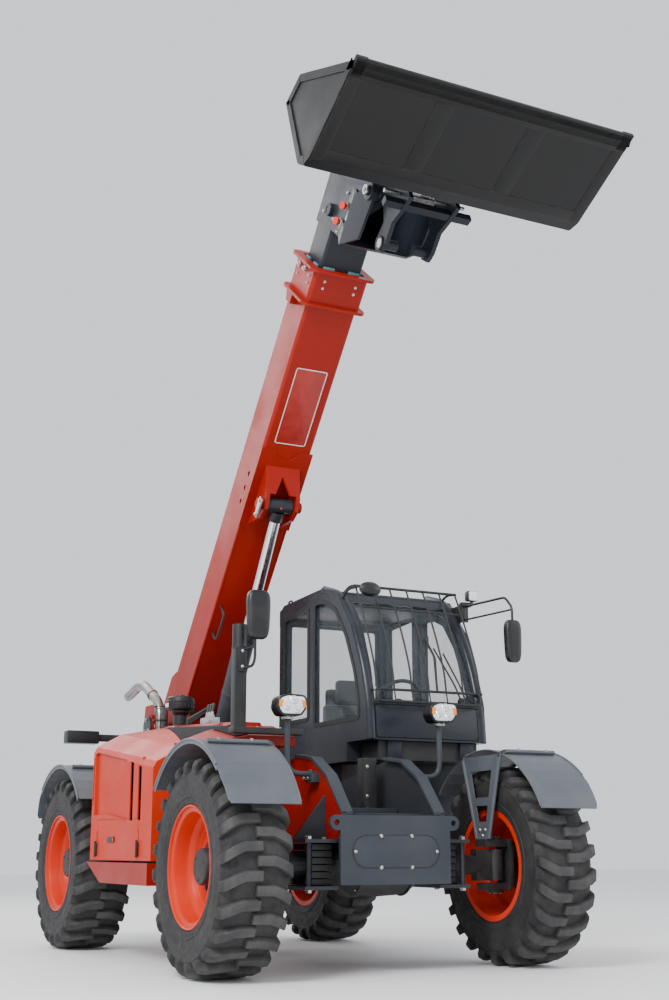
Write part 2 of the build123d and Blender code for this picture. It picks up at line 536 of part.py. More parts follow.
def make_boom():
    tube = rect_tube(BOOM_HALF_W, BOOM_HALF_D, BOOM_WALL, 300, COLLAR_S + COLLAR_LEN, 24)
    foot = both_sides(slab_y([(-140, -120), (-140, 130), (-40, 235), (330, 235), (420, 177), (420, -177),
                              (330, -300), (-60, -200)], BOOM_HALF_W - BOOM_WALL, BOOM_HALF_W))
    eye = rod_y(0, 0, 90, -BOOM_HALF_W, BOOM_HALF_W)
    rear_web = box(180, 200, -BOOM_HALF_W, BOOM_HALF_W, -220, 200)
    bore = rod_y(0, 0, BOOM_PIN_R + 0.05, -400, 400)
    under = -BOOM_HALF_D - 12
    # lift bracket: band under the boom, flanks up its sides, cheeks and a cut web round the eye
    eye_s, eye_n = LIFT_EYE_S, LIFT_EYE_N
    band = box(eye_s - 250, eye_s + 380, -BOOM_HALF_W - 12, BOOM_HALF_W + 12, under, -BOOM_HALF_D + 2)
    band -= Pos(eye_s + 400, 0, under) * Cylinder(92, 60)
    flank = [(eye_s - 250, under), (eye_s + 380, under), (eye_s + 340, -104), (eye_s - 160, -104)]
    flanks = both_sides(slab_y(flank, BOOM_HALF_W - 2, BOOM_HALF_W + 12))
    cheek = [(eye_s - 235, under + 2), (eye_s - 90, eye_n - 40), (eye_s, eye_n - 72),
             (eye_s + 85, eye_n - 40), (eye_s + 255, under + 2)]
    cheeks = both_sides(slab_y(cheek, 104, 134))
    web = slab_y([(eye_s + 235, under + 2), (eye_s + 255, under + 2), (eye_s + 100, eye_n - 24),
                  (eye_s + 92, eye_n - 10)], -110, 110)
    web -= slab_x([(-84, eye_n - 60), (0, eye_n + 74), (84, eye_n - 60)], eye_s, eye_s + 300)
    side_holes = [rod_y(s, -70, 22, -BOOM_HALF_W - 20, -BOOM_HALF_W + 20) for s in (2094, 2208, 2323)]
    pin_ends = both_sides(rod_y(eye_s, eye_n, 40, 101, 170))
    bracket = Part() + band + flanks + cheeks + web + pin_ends
    outer = tube + foot + eye + rear_web + bracket - bore - side_holes
    ring = [rounded_bar(BOOM_HALF_W + 55, BOOM_HALF_D + 55, 60, s, s + 20)
            for s in (COLLAR_S, COLLAR_S + COLLAR_LEN - 20)]
    sleeve = rounded_bar(BOOM_HALF_W + 14, BOOM_HALF_D + 14, 30, COLLAR_S, COLLAR_S + COLLAR_LEN)
    core = rounded_bar(BOOM_HALF_W, BOOM_HALF_D, 24, COLLAR_S - 5, COLLAR_S + COLLAR_LEN + 5)
    gusset_outline = [(COLLAR_S - 70, -60), (COLLAR_S, -60), (COLLAR_S, 60), (COLLAR_S - 70, 20)]
    gussets = both_sides(slab_y([(s, n + 60) for s, n in gusset_outline], BOOM_HALF_W, BOOM_HALF_W + 50))
    keep("boom_collar", in_boom(Part() + ring + sleeve + gussets - core))

    cover = box(1500, 3200, -60, 60, BOOM_HALF_D, BOOM_HALF_D + 40)
    keep("outer_boom", in_boom(outer + cover))

    make_boom_head()


def make_boom_head():
    tube = rect_tube(INNER_HALF_W, INNER_HALF_D, 10, 900, 4240, 20)

    def head(inset):
        """Nose section: cheeks swell below the tube and close in again at the underside."""
        half = [(INNER_HALF_W + 8 - inset, 148 - inset), (INNER_HALF_W + 8 - inset, -280),
                (250 - inset, -520), (232 - inset, -765)]
        return slab_x([(-y, n) for y, n in half[::-1]] + half, 4200, 4720)

    side_cut = slab_y([(4100, -138.2), (4215, -138.2), (4215, -520), (4325, -735), (4600, -765),
                       (4600, -900), (4100, -900)], -300, 300)
    front_cut = slab_y([(4560, 200), (4560, -540), (4640, -640), (4690, -700), (4640, -765), (4640, -900),
                        (4900, -900), (4900, 200)], -300, 300)
    hollow = head(18) & box(4240, 4800, -300, 300, -900, 126)
    nose = head(0) - side_cut - front_cut - hollow
    nose = nose + box(4545, 4560, -INNER_HALF_W - 8, INNER_HALF_W + 8, -420, 148)
    pin_boss = both_sides(rod_y(TILT_S, TILT_N, 62, 200, 244))
    rear_boss = both_sides(rod_y(4330, -58, 44, INNER_HALF_W, INNER_HALF_W + 34))
    nose = nose + pin_boss + rear_boss - rod_y(TILT_S, TILT_N, 32.05, -300, 300)
    keep("inner_boom", in_boom(tube + nose))


def in_tilt(shape):
    return in_boom(Pos(TILT_S, 0, TILT_N) * shape)


def make_bucket():
    """Carriage and bucket, laid out from the tilt pin in the boom's frame."""
    floor_a = math.radians(-21.0)
    lip = (800.0, -810.0)

    def at(along, up):
        """Bucket outline point: along the floor from the lip, and square to it."""
        return (lip[0] + along * math.cos(floor_a) - up * math.sin(floor_a),
                lip[1] + along * math.sin(floor_a) + up * math.cos(floor_a))

    outer = [(0, 0), (-640, 0), (-720, 30), (-770, 120), (-690, 620), (-470, 600)]
    inner = [(0, 14), (-636, 14), (-708, 42), (-755, 122), (-676, 606), (-480, 594), (-480, 700), (200, 700),
             (200, 14)]
    tub = slab_y([at(*p) for p in outer], -BUCKET_HALF_W, BUCKET_HALF_W)
    hollow = slab_y([at(*p) for p in inner], -BUCKET_HALF_W + 16, BUCKET_HALF_W - 16)
    hook = [at(*p) for p in ((-768, 135), (-694, 600), (-800, 575), (-830, 500), (-820, 300))]
    hooks = both_sides(slab_y(hook, 190, 215))
    keep("bucket", in_tilt(tub - hollow + hooks))
    hooks_solid = Part() + hooks

    low_back, high_back = Vector(*at(-770, 120)), Vector(*at(-690, 620))
    up_back = (high_back - low_back).normalized()
    off_back = Vector(-up_back.Y, up_back.X)

    def behind(up, off):
        """Carriage point: up the bucket's back plate, and off it towards the boom."""
        point = low_back + up_back * up + off_back * off
        return (point.X, point.Y)

    outline = [(-30, 14), (440, 14), (445, 70), (372, 345), (303, 385), (240, 345), (190, 290), (60, 330),
               (25, 455), (-34, 479), (-92, 440), (-85, 370), (-20, 250), (-30, 130)]
    arms = both_sides(slab_y([behind(*p) for p in outline], 150, 178))
    shaft_x, shaft_z = behind(-34, 421)
    shaft = both_sides(rod_y(shaft_x, shaft_z, 34, 60, 178))
    rails = [slab_y([behind(*p) for p in corners], -half, half) for half, corners in (
        (300, ((-25, 85), (20, 85), (20, 135), (-25, 135))),
        (188, ((395, 14), (440, 14), (440, 60), (395, 60))))]
    pin = rod_y(0, 0, 32, -262, 262)
    keep("carriage", in_tilt(Part() + arms + shaft + rails + pin - hooks_solid))


def make_lift_cylinder():
    c, s = math.cos(math.radians(BOOM_ANGLE)), math.sin(math.radians(BOOM_ANGLE))
    eye_x = PIVOT_X + LIFT_EYE_S * c - LIFT_EYE_N * s
    eye_z = PIVOT_Z + LIFT_EYE_S * s + LIFT_EYE_N * c
    length = math.hypot(eye_x - LIFT_BASE_X, eye_z - LIFT_BASE_Z)
    angle = math.degrees(math.atan2(eye_z - LIFT_BASE_Z, eye_x - LIFT_BASE_X))
    place = Location((LIFT_BASE_X, 0, LIFT_BASE_Z), (0, -angle, 0))
    body_end = 1500.0
    barrel = rod_x(0, 0, BARREL_R, 70, body_end) - rod_x(0, 0, ROD_R + 0.1, 140, body_end + 5)
    base_eye = rod_y(0, 0, 80, -85, 85)
    keep("lift_barrel", place * (barrel + base_eye - rod_y(0, 0, 35.1, -200, 200)))
    eye = rod_y(length, 0, EYE_R, -95, 95)
    keep("lift_rod", place * (rod_x(0, 0, ROD_R, 745, length - 20) + eye))


def export_parts():
    os.makedirs("parts", exist_ok=True)
    for name, solids in PARTS.items():
        pieces = [solid for shape in solids for solid in shape.solids()]
        moved = Compound([Pos(ORIGIN_SHIFT, 0, 0) * piece for piece in pieces])
        export_step(moved, f"parts/{name}.step")


make_wheels()
make_axles()
make_chassis()
make_engine_side()
make_cab()
make_cab_trim()
make_front_fittings()
make_boom()
make_bucket()
make_lift_cylinder()
export_parts()
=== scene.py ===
import json
import math

import bmesh
import bpy
from mathutils import Matrix, Vector


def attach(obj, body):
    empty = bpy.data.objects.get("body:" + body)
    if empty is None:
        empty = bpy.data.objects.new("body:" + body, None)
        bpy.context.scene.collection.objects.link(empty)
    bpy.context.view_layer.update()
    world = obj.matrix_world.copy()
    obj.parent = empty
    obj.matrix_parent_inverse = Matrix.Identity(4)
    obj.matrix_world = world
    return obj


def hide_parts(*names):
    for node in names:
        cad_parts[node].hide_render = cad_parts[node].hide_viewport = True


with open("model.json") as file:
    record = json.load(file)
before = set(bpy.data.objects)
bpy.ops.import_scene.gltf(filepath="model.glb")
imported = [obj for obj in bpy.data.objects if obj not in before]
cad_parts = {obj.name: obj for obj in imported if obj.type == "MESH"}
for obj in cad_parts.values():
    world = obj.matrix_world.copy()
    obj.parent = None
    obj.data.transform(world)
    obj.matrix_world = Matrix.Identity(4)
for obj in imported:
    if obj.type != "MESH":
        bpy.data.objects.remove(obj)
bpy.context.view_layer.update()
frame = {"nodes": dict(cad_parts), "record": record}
nodes = frame["nodes"]

# ------------------------------------------------------------------ places, in metres
SHIFT = -0.378
FRONT_X, REAR_X = 1.330 + SHIFT, -1.330 + SHIFT
TYRE_R = 0.588
WHEEL_Y, WHEEL_Z = 0.980, TYRE_R
PIVOT = Vector((-1.780 + SHIFT, 0.0, 1.618))
BOOM_ANGLE = math.radians(49.3)
BOOM_HALF_W, BOOM_HALF_D = 0.190, 0.177
COLLAR_S, COLLAR_LEN = 3.690, 0.260
TILT_S, TILT_N = 4.630, -0.700
CAB_Y0, CAB_Y1 = 0.240, 1.150
CAB_MIDDLE = (CAB_Y0 + CAB_Y1) / 2
HOOD_Y = -1.130
PLATE_X = 1.590 + SHIFT
SIDE_Y = 0.330

IN_BOOM = Matrix.Translation(PIVOT) @ Matrix.Rotation(-BOOM_ANGLE, 4, "Y")
IN_TILT = IN_BOOM @ Matrix.Translation((TILT_S, 0.0, TILT_N))
IN_MACHINE = Matrix.Translation((SHIFT, 0.0, 0.0))


# ------------------------------------------------------------------ shader maths
class Value:
    """One socket of a finish; Python's operators lay down its Math nodes."""

    def __init__(self, finish, socket):
        self.finish, self.socket = finish, socket

    def _math(self, operation, first, second):
        return self.finish.node("ShaderNodeMath", {"operation": operation}, {0: first, 1: second})

    def __add__(self, other):
        return self._math("ADD", self, other)

    def __rsub__(self, other):
        return self._math("SUBTRACT", other, self)

    def __mul__(self, other):
        return self._math("MULTIPLY", self, other)

    def __pow__(self, other):
        return self._math("POWER", self, other)


class Finish:
    """One material: a Principled surface and what changes over it."""

    def __init__(self, name, color, roughness, metallic=0.0, **constants):
        self.material = bpy.data.materials.new(name)
        self.material.use_nodes = True
        self.tree = self.material.node_tree
        self.tree.nodes.clear()
        self.surface = self.tree.nodes.new("ShaderNodeBsdfPrincipled")
        self.output = self.tree.nodes.new("ShaderNodeOutputMaterial")
        self.tree.links.new(self.surface.outputs[0], self.output.inputs["Surface"])
        self.color = (*color, 1.0)
        self.set("Base Color", self.color)
        self.set("Roughness", roughness)
        self.set("Metallic", metallic)
        for socket, value in constants.items():
            self.set(socket.replace("_", " "), value)

    def node(self, kind, settings=None, values=None, out=0):
        made = self.tree.nodes.new(kind)
        for key, setting in (settings or {}).items():
            if key == "stops":
                ramp = made.color_ramp
                while len(ramp.elements) < len(setting):
                    ramp.elements.new(0.5)
                for element, (place, shade) in zip(ramp.elements, setting):
                    element.position, element.color = place, shade
            else:
                setattr(made, key, setting)
        for key, value in (values or {}).items():
            if isinstance(value, Value):
                self.tree.links.new(value.socket, made.inputs[key])
            else:
                made.inputs[key].default_value = value
        return Value(self, made.outputs[out])

    def set(self, socket, value):
        if isinstance(value, Value):
            self.tree.links.new(value.socket, self.surface.inputs[socket])
        else:
            self.surface.inputs[socket].default_value = value

    def place(self):
        return self.node("ShaderNodeTexCoord", out="Object")

    def part(self, vector, axis):
        return self.node("ShaderNodeSeparateXYZ", {}, {0: vector}, out=axis)

    def noise(self, scale, detail=4.0, rough=0.55, stretch=None):
        vector = self.place()
        if stretch:
            vector = self.node("ShaderNodeMapping", {}, {"Vector": vector, "Scale": stretch})
        return self.node("ShaderNodeTexNoise", {}, {"Vector": vector, "Scale": scale, "Detail": detail,
                                                   "Roughness": rough})

    def span(self, value, low, high, to_low=0.0, to_high=1.0):
        """Straight ramp of a value, held at both ends."""
        return self.node("ShaderNodeMapRange", {"clamp": True},
                         {"Value": value, "From Min": low, "From Max": high,
                                                                 "To Min": to_low, "To Max": to_high})

    def blend(self, mask, first, second):
        """Colour between two colours."""
        mix = self.tree.nodes.new("ShaderNodeMix")
        mix.data_type = "RGBA"
        for key, value in ((0, mask), (6, first), (7, second)):
            if isinstance(value, Value):
                self.tree.links.new(value.socket, mix.inputs[key])
            else:
                mix.inputs[key].default_value = value if key == 0 else (*value[:3], 1.0)
        return Value(self, mix.outputs[2])

    def rounded(self, radius):
        """Normal that softens the solid's sharp edges."""
        return self.node("ShaderNodeBevel", {"samples": 4}, {"Radius": radius})

    def edges(self, radius):
        """Mask that is 1 on sharp edges and 0 on flats."""
        soft = self.node("ShaderNodeBevel", {"samples": 4}, {"Radius": radius})
        flat = self.node("ShaderNodeNewGeometry", out="Normal")
        same = self.node("ShaderNodeVectorMath", {"operation": "DOT_PRODUCT"}, {0: soft, 1: flat},
                         out="Value")
        return self.span(same, 0.97, 0.80)

    def bump(self, height, distance, strength=1.0, normal=None):
        values = {"Height": height, "Distance": distance, "Strength": strength}
        if normal is not None:
            values["Normal"] = normal
        self.set("Normal", self.node("ShaderNodeBump", {}, values))


DUST = (0.30, 0.25, 0.20)


def painted(name, color, roughness=0.32, worn=(0.10, 0.09, 0.085), wear=0.35, dust=0.18, edge=0.004,
            painted_shade_inside=None):
    """Sprayed paint on plate: orange peel, cloudy dust, rubbed edges, painted shade inside the frame."""
    f = Finish(name, color, roughness, Coat_Weight=0.03, Coat_Roughness=0.12, **{"Specular IOR Level": 0.22})
    cloud = f.noise(3.1, 5.0)
    grains = f.noise(46.0, 3.0)
    rub = f.edges(edge) * f.span(f.noise(19.0, 5.0), 0.44, 0.62) * wear
    film = f.span(cloud, 0.42, 0.74) * dust
    shade = f.span(f.noise(1.3, 3.0), 0.3, 0.7)
    deep = tuple(c * 0.82 for c in color)
    base = f.blend(shade, deep, color)
    if painted_shade_inside:  # painted shade: dark grey laid between the frame's side plates, from under the cab forwards, where shade falls
        place = f.place()
        across = f.part(place, "Y")
        between = f.span((across * across) ** 0.5, 0.316, 0.312) * f.span(f.part(place, "X"), -0.60, -0.59)
        base = f.blend(between, base, painted_shade_inside)
    base = f.blend(film, base, DUST)
    f.set("Base Color", f.blend(rub, base, worn))
    sheen = f.span(cloud, 0.3, 0.75, roughness - 0.05, roughness + 0.16)
    f.set("Roughness", sheen + f.span(grains, 0.3, 0.7) * 0.05)
    f.bump(f.noise(240.0, 2.0), 0.0004, 0.35, f.rounded(edge * 0.6))
    return f.material


def moulded(name, color, roughness=0.55, grain=620.0, depth=0.00025, dust=0.22):
    """Moulded plastic with a fine leather-like grain and settled dust."""
    f = Finish(name, color, roughness)
    cloud = f.noise(4.0, 5.0)
    film = f.span(cloud, 0.45, 0.78) * dust
    base = f.blend(f.span(f.noise(1.7), 0.3, 0.7), tuple(c * 0.8 for c in color), color)
    f.set("Base Color", f.blend(film, base, DUST))
    f.set("Roughness", f.span(cloud, 0.3, 0.7, roughness - 0.07, roughness + 0.10))
    f.bump(f.noise(grain, 2.0), depth, 0.6, f.rounded(0.003))
    return f.material


def rubber():
    """Tyre rubber: grey dust on the side and in the tread's grooves, worn lug tops."""
    f = Finish("tyre_rubber", (0.022, 0.022, 0.023), 0.72)
    place = f.place()
    x, z = f.part(place, "X"), f.part(place, "Z")
    radius = (x * x + z * z) ** 0.5
    top = f.span(radius, 0.545, 0.583)
    cloud = f.span(f.noise(7.0, 6.0), 0.35, 0.72)
    side = f.blend(cloud * 0.55, (0.008, 0.008, 0.009), (0.040, 0.038, 0.037))
    lug = f.blend(cloud * 0.7, (0.030, 0.030, 0.031), (0.085, 0.083, 0.080))
    f.set("Base Color", f.blend(top, side, lug))
    f.set("Roughness", f.span(f.noise(26.0, 4.0), 0.3, 0.7, 0.62, 0.86))
    rings = f.node("ShaderNodeTexWave", {"wave_type": "RINGS", "rings_direction": "Y"},
                   {"Vector": place, "Scale": 13.0, "Distortion": 0.0})
    f.bump(f.noise(170.0, 4.0) * 0.7 + rings * (1 - top) * 0.25, 0.0012, 0.5)
    return f.material


def cast():
    """Painted cast iron with a sandy skin and oily dust."""
    f = Finish("dark_cast", (0.013, 0.014, 0.016), 0.55)
    cloud = f.noise(8.0, 6.0)
    f.set("Base Color", f.blend(f.span(cloud, 0.45, 0.75) * 0.5, f.color, (0.050, 0.045, 0.040)))
    f.set("Roughness", f.span(cloud, 0.3, 0.7, 0.42, 0.78))
    f.bump(f.noise(140.0, 5.0), 0.0012, 0.6, f.rounded(0.004))
    return f.material


def plated():
    """Chromed cylinder rod with faint lengthwise wipe marks."""
    f = Finish("chrome", (0.78, 0.79, 0.81), 0.10, 1.0)
    wipe = f.noise(34.0, 4.0, 0.6, (1.0, 1.0, 0.12))
    f.set("Roughness", f.span(wipe, 0.3, 0.75, 0.06, 0.24))
    f.set("Base Color", f.blend(f.span(wipe, 0.5, 0.8) * 0.35, f.color, (0.45, 0.44, 0.42)))
    return f.material


def bucket_paint():
    """Near-black satin paint, browned and scratched along the lip and edges."""
    f = Finish("bucket_steel", (0.006, 0.006, 0.0065), 0.48, **{"Specular IOR Level": 0.3})
    cloud = f.noise(2.4, 6.0)
    scratch = f.span(f.noise(26.0, 6.0, 0.7, (1.0, 6.0, 1.0)), 0.60, 0.70)
    rub = f.edges(0.006) * f.span(f.noise(12.0, 5.0), 0.40, 0.60)
    base = f.blend(f.span(cloud, 0.42, 0.75) * 0.5, f.color, (0.014, 0.0135, 0.013))
    base = f.blend(scratch * 0.15, base, (0.07, 0.066, 0.06))
    f.set("Base Color", f.blend(rub * 0.5, base, (0.16, 0.14, 0.125)))
    f.set("Roughness", f.span(cloud, 0.3, 0.75, 0.34, 0.56))
    f.bump(f.noise(60.0, 5.0), 0.0008, 0.45, f.rounded(0.004))
    return f.material


def burnt_steel():
    """Exhaust steel, bare and heat-browned."""
    f = Finish("exhaust_steel", (0.42, 0.41, 0.40), 0.34, 1.0)
    heat = f.span(f.noise(5.0, 5.0, 0.6, (1.0, 1.0, 3.0)), 0.35, 0.7)
    f.set("Base Color", f.blend(heat * 0.7, f.color, (0.20, 0.13, 0.085)))
    f.set("Roughness", f.span(f.noise(18.0), 0.3, 0.7, 0.26, 0.52))
    f.bump(f.noise(90.0), 0.0005, 0.4)
    return f.material


def pane(name, color, alpha):
    """Tinted window glass with a little patchy dust."""
    f = Finish(name, color, 0.03)
    f.set("Specular IOR Level", 0.7)
    f.set("Coat Weight", 0.6)
    haze = f.span(f.noise(2.2, 5.0), 0.45, 0.8)
    f.set("Alpha", f.span(haze, 0.0, 1.0, alpha, alpha + 0.03))
    f.set("Roughness", f.span(haze, 0.0, 1.0, 0.02, 0.06))
    return f.material


def woven(name, color):
    """Tightly woven seat cloth."""
    f = Finish(name, color, 0.9)
    f.set("Sheen Weight", 0.3)
    across = f.node("ShaderNodeTexWave", {"wave_type": "BANDS", "bands_direction": "X"},
                    {"Vector": f.place(), "Scale": 190.0, "Distortion": 0.6})
    along = f.node("ShaderNodeTexWave", {"wave_type": "BANDS", "bands_direction": "Y"},
                   {"Vector": f.place(), "Scale": 190.0, "Distortion": 0.6})
    weave = across * along
    f.set("Base Color", f.blend(weave * 0.8, tuple(c * 0.6 for c in color), tuple(c * 1.5 for c in color)))
    f.bump(weave, 0.0008, 0.7)
    return f.material


def zinc():
    """Plated bolts, nuts and pipe ends."""
    f = Finish("zinc_bolts", (0.55, 0.55, 0.53), 0.38, 1.0)
    f.set("Roughness", f.span(f.noise(120.0), 0.3, 0.7, 0.28, 0.52))
    f.set("Base Color", f.blend(f.span(f.noise(60.0), 0.45, 0.7), f.color, (0.34, 0.32, 0.29)))
    return f.material


def lamp_glass():
    """Clear lamp glass with upright ribs."""
    f = Finish("lamp_lens", (0.90, 0.93, 0.96), 0.05)
    f.set("Coat Weight", 1.0)
    ribs = f.node("ShaderNodeTexWave", {"wave_type": "BANDS", "bands_direction": "Y"},
                  {"Vector": f.place(), "Scale": 46.0, "Distortion": 0.0})
    f.set("Base Color", f.blend(ribs * 0.5, (0.92, 0.95, 0.98), (0.45, 0.48, 0.52)))
    f.bump(ribs, 0.002, 0.5)
    return f.material


def plain(name, color, roughness, metallic=0.0, depth=0.0004, grain=90.0):
    """Even finish for small parts, with a fine grain."""
    f = Finish(name, color, roughness, metallic)
    cloud = f.noise(14.0, 4.0)
    f.set("Base Color", f.blend(f.span(cloud, 0.4, 0.75) * 0.35, color,
                                tuple(min(1.0, c * 1.7 + 0.02) for c in color)))
    f.set("Roughness", f.span(cloud, 0.3, 0.7, max(0.02, roughness - 0.06), roughness + 0.08))
    f.bump(f.noise(grain), depth, 0.4)
    return f.material


FINISH = {
    "tyre_rubber": rubber(),
    "rim_paint": painted("rim_paint", (0.60, 0.022, 0.0), 0.36, wear=0.15, dust=0.04),
    "red_paint": painted("red_paint", (0.31, 0.0065, 0.0), 0.36, wear=0.15, dust=0.015),
    # frame_paint: red paint, with painted shade (dark grey) between the side plates
    "frame_paint": painted("frame_paint", (0.30, 0.006, 0.0), 0.36, dust=0.03, painted_shade_inside=(0.022, 0.025, 0.030)),
    "hood_paint": painted("hood_paint", (0.52, 0.020, 0.0), 0.38, wear=0.15, dust=0.015),
    "grey_paint": painted("grey_paint", (0.036, 0.044, 0.056), 0.36, worn=(0.13, 0.13, 0.13), dust=0.06),
    "dark_cast": cast(),
    "black_plastic": moulded("black_plastic", (0.010, 0.010, 0.012), 0.5, dust=0.10),
    "fender_plastic": moulded("fender_plastic", (0.085, 0.100, 0.118), 0.42, dust=0.16),
    "chrome": plated(),
    "bucket_steel": bucket_paint(),
    "exhaust_steel": burnt_steel(),
    "glass": pane("glass", (0.10, 0.13, 0.15), 0.13),
    "seat_cloth": woven("seat_cloth", (0.035, 0.035, 0.040)),
    "bolts": zinc(),
    "hose": plain("hose_rubber", (0.016, 0.016, 0.017), 0.55, 0.0, 0.0006, 260.0),
    "lens": lamp_glass(),
    "amber": plain("amber_lens", (0.85, 0.25, 0.02), 0.12),
    "red_cap": plain("red_cap", (0.62, 0.02, 0.015), 0.35),
    "mirror": plain("mirror_glass", (0.78, 0.80, 0.82), 0.04, 1.0, 0.0),
    "plate": plain("blank_plate", (0.30, 0.010, 0.005), 0.4),
    "pad": plain("wear_pad", (0.05, 0.20, 0.22), 0.5),
    "cab_paint": painted("cab_paint", (0.024, 0.028, 0.036), 0.24, worn=(0.10, 0.10, 0.10), wear=0.15,
                         dust=0.03),
    "head_paint": painted("head_paint", (0.014, 0.018, 0.026), 0.34, worn=(0.10, 0.10, 0.10), wear=0.2,
                          dust=0.03),
    "ram_paint": painted("ram_paint", (0.040, 0.046, 0.055), 0.34, worn=(0.15, 0.15, 0.15), wear=0.2,
                         dust=0.08),
    "seal": plain("seal_rubber", (0.012, 0.012, 0.013), 0.6, 0.0, 0.0005, 300.0),
    "moulding": moulded("moulding", (0.008, 0.008, 0.010), 0.42, dust=0.06),
    "pale": plain("pale_border", (0.62, 0.60, 0.57), 0.45),
}


# ------------------------------------------------------------------ makers
def finished(name, mesh, body, finish, place=None, hides=(), angle=35.0):
    """Puts one mesh into the scene as a piece of the machine."""
    for polygon in mesh.polygons:
        polygon.use_smooth = True
    mesh.set_sharp_from_angle(angle=math.radians(angle))
    piece = bpy.data.objects.new(name, mesh)
    bpy.context.scene.collection.objects.link(piece)
    piece.matrix_world = place or Matrix.Identity(4)
    if not mesh.materials:
        mesh.materials.append(FINISH[finish])
    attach(piece, body)
    if hides:
        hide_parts(*hides)
    return piece


def to_mesh(bm, name):
    """Turns the shape into a mesh with its faces outwards."""
    mesh = bpy.data.meshes.new(name)
    bmesh.ops.recalc_face_normals(bm, faces=bm.faces)
    bm.to_mesh(mesh)
    bm.free()
    return mesh


def add_lathe(bm, profile, steps, axis="Y", place=None):
    """Turns a profile of (radius, along) points round an axis."""
    place = place or Matrix.Identity(4)
    rings = []
    for i in range(steps):
        a = 2 * math.pi * i / steps
        ring = []
        for r, h in profile:
            c, s = r * math.cos(a), r * math.sin(a)
            point = {"X": (h, c, s), "Y": (c, h, s), "Z": (c, s, h)}[axis]
            ring.append(bm.verts.new(place @ Vector(point)))
        rings.append(ring)
    for i in range(steps):
        a, b = rings[i], rings[(i + 1) % steps]
        for j in range(len(profile) - 1):
            bm.faces.new((a[j], a[j + 1], b[j + 1], b[j]))
    bmesh.ops.remove_doubles(bm, verts=bm.verts, dist=1e-6)


def add_box(bm, low, high, round_by=0.0, place=None):
    """Box between two corners, its edges rounded."""
    low, high = Vector(low), Vector(high)
    middle, size = (low + high) / 2, high - low
    made = bmesh.ops.create_cube(bm, size=1.0)["verts"]
    bmesh.ops.scale(bm, vec=size, verts=made)
    bmesh.ops.translate(bm, vec=middle, verts=made)
    if round_by:
        edges = list({e for v in made for e in v.link_edges})
        grown = bmesh.ops.bevel(bm, geom=edges, offset=round_by, segments=2, profile=0.6, affect="EDGES")
        made = list({v for f in grown["faces"] for v in f.verts} | {v for v in made if v.is_valid})
    if place:
        bmesh.ops.transform(bm, matrix=place, verts=made)


def add_plate(bm, outline, thick, round_by=0.0, place=None):
    """Outline of (x, y) points made into a plate from z = 0 up to its thickness, its upper edge rounded."""
    place = place or Matrix.Identity(4)
    steps = [(0.0, 0.0), (0.0, thick - round_by)]
    steps += [(round_by * 0.3, thick - round_by * 0.3), (round_by, thick)] if round_by else []
    loops = [[bm.verts.new(place @ Vector((x, y, z))) for x, y in (drawn_in(outline, by) if by else outline)]
             for by, z in steps]
    for a, b in zip(loops, loops[1:]):
        for i in range(len(a)):
            k = (i + 1) % len(a)
            bm.faces.new((a[i], a[k], b[k], b[i]))
    bm.faces.new(loops[0][::-1])
    bm.faces.new(loops[-1])


def facing(point, direction, up=(0, 0, 1)):
    """Placement whose z looks along a direction."""
    z = Vector(direction).normalized()
    x = Vector(up).cross(z)
    if x.length < 1e-4:
        x = Vector((1, 0, 0)).cross(z)
    x.normalize()
    turn = Matrix((x, z.cross(x), z)).transposed().to_4x4()
    return Matrix.Translation(point) @ turn


def add_bolt(bm, point, direction, size=0.012, washer=True):
    """Hexagon head with its chamfered crown on a washer."""
    place = facing(point, direction)
    if washer:
        add_lathe(bm, [(0, 0), (size * 1.25, 0), (size * 1.25, size * 0.16), (0, size * 0.16)], 16, "Z",
                  place)
    base = size * 0.16 if washer else 0.0
    lower = [bm.verts.new(place @ Vector((size * math.cos(a), size * math.sin(a), base)))
             for a in (math.pi / 3 * k for k in range(6))]
    upper = [bm.verts.new(place @ Vector((size * math.cos(a), size * math.sin(a), base + size * 0.62)))
             for a in (math.pi / 3 * k for k in range(6))]
    crown = [bm.verts.new(place @ Vector((size * 0.82 * math.cos(a), size * 0.82 * math.sin(a),
                                          base + size * 0.74)))
             for a in (math.pi / 3 * k for k in range(6))]
    for a, b in ((lower, upper), (upper, crown)):
        for k in range(6):
            bm.faces.new((a[k], a[(k + 1) % 6], b[(k + 1) % 6], b[k]))
    bm.faces.new(crown)


def softened(points, corner, closed=False, steps=5):
    """Line whose corners are bent to about one radius."""
    points = [Vector(p) for p in points]
    if closed:
        triples = zip(points[-1:] + points[:-1], points, points[1:] + points[:1])
        line = []
    else:
        triples = zip(points, points[1:], points[2:])
        line = [points[0]]
    for before, here, after in triples:
        first, second = here - before, after - here
        reach = min(corner, first.length * 0.49, second.length * 0.49)
        start, end = here - first.normalized() * reach, here + second.normalized() * reach
        for k in range(steps + 1):
            t = k / steps
            line.append(start * (1 - t) ** 2 + here * 2 * t * (1 - t) + end * t ** 2)
    return line if closed else line + [points[-1]]


def add_rod(bm, points, radius, corner=0.0, sides=12, closed=False):
    """Round bar, pipe or hose along a line."""
    line = softened(points, corner, closed) if corner else [Vector(p) for p in points]
    count = len(line)
    heading = (line[1] - line[0]).normalized()
    across = heading.orthogonal().normalized()
    rings = []
    for k, point in enumerate(line):
        before = line[k - 1] if closed or k else point
        after = line[(k + 1) % count] if closed or k + 1 < count else point
        new = (after - before).normalized()
        across = heading.rotation_difference(new) @ across
        heading = new
        other = heading.cross(across)
        rings.append([bm.verts.new(point + (across * math.cos(2 * math.pi * i / sides)
                                            + other * math.sin(2 * math.pi * i / sides)) * radius)
                      for i in range(sides)])
    pairs = zip(rings, rings[1:] + rings[:1]) if closed else zip(rings, rings[1:])
    for a, b in pairs:
        for i in range(sides):
            bm.faces.new((a[i], a[(i + 1) % sides], b[(i + 1) % sides], b[i]))
    if not closed:
        bm.faces.new(rings[0][::-1])
        bm.faces.new(rings[-1])


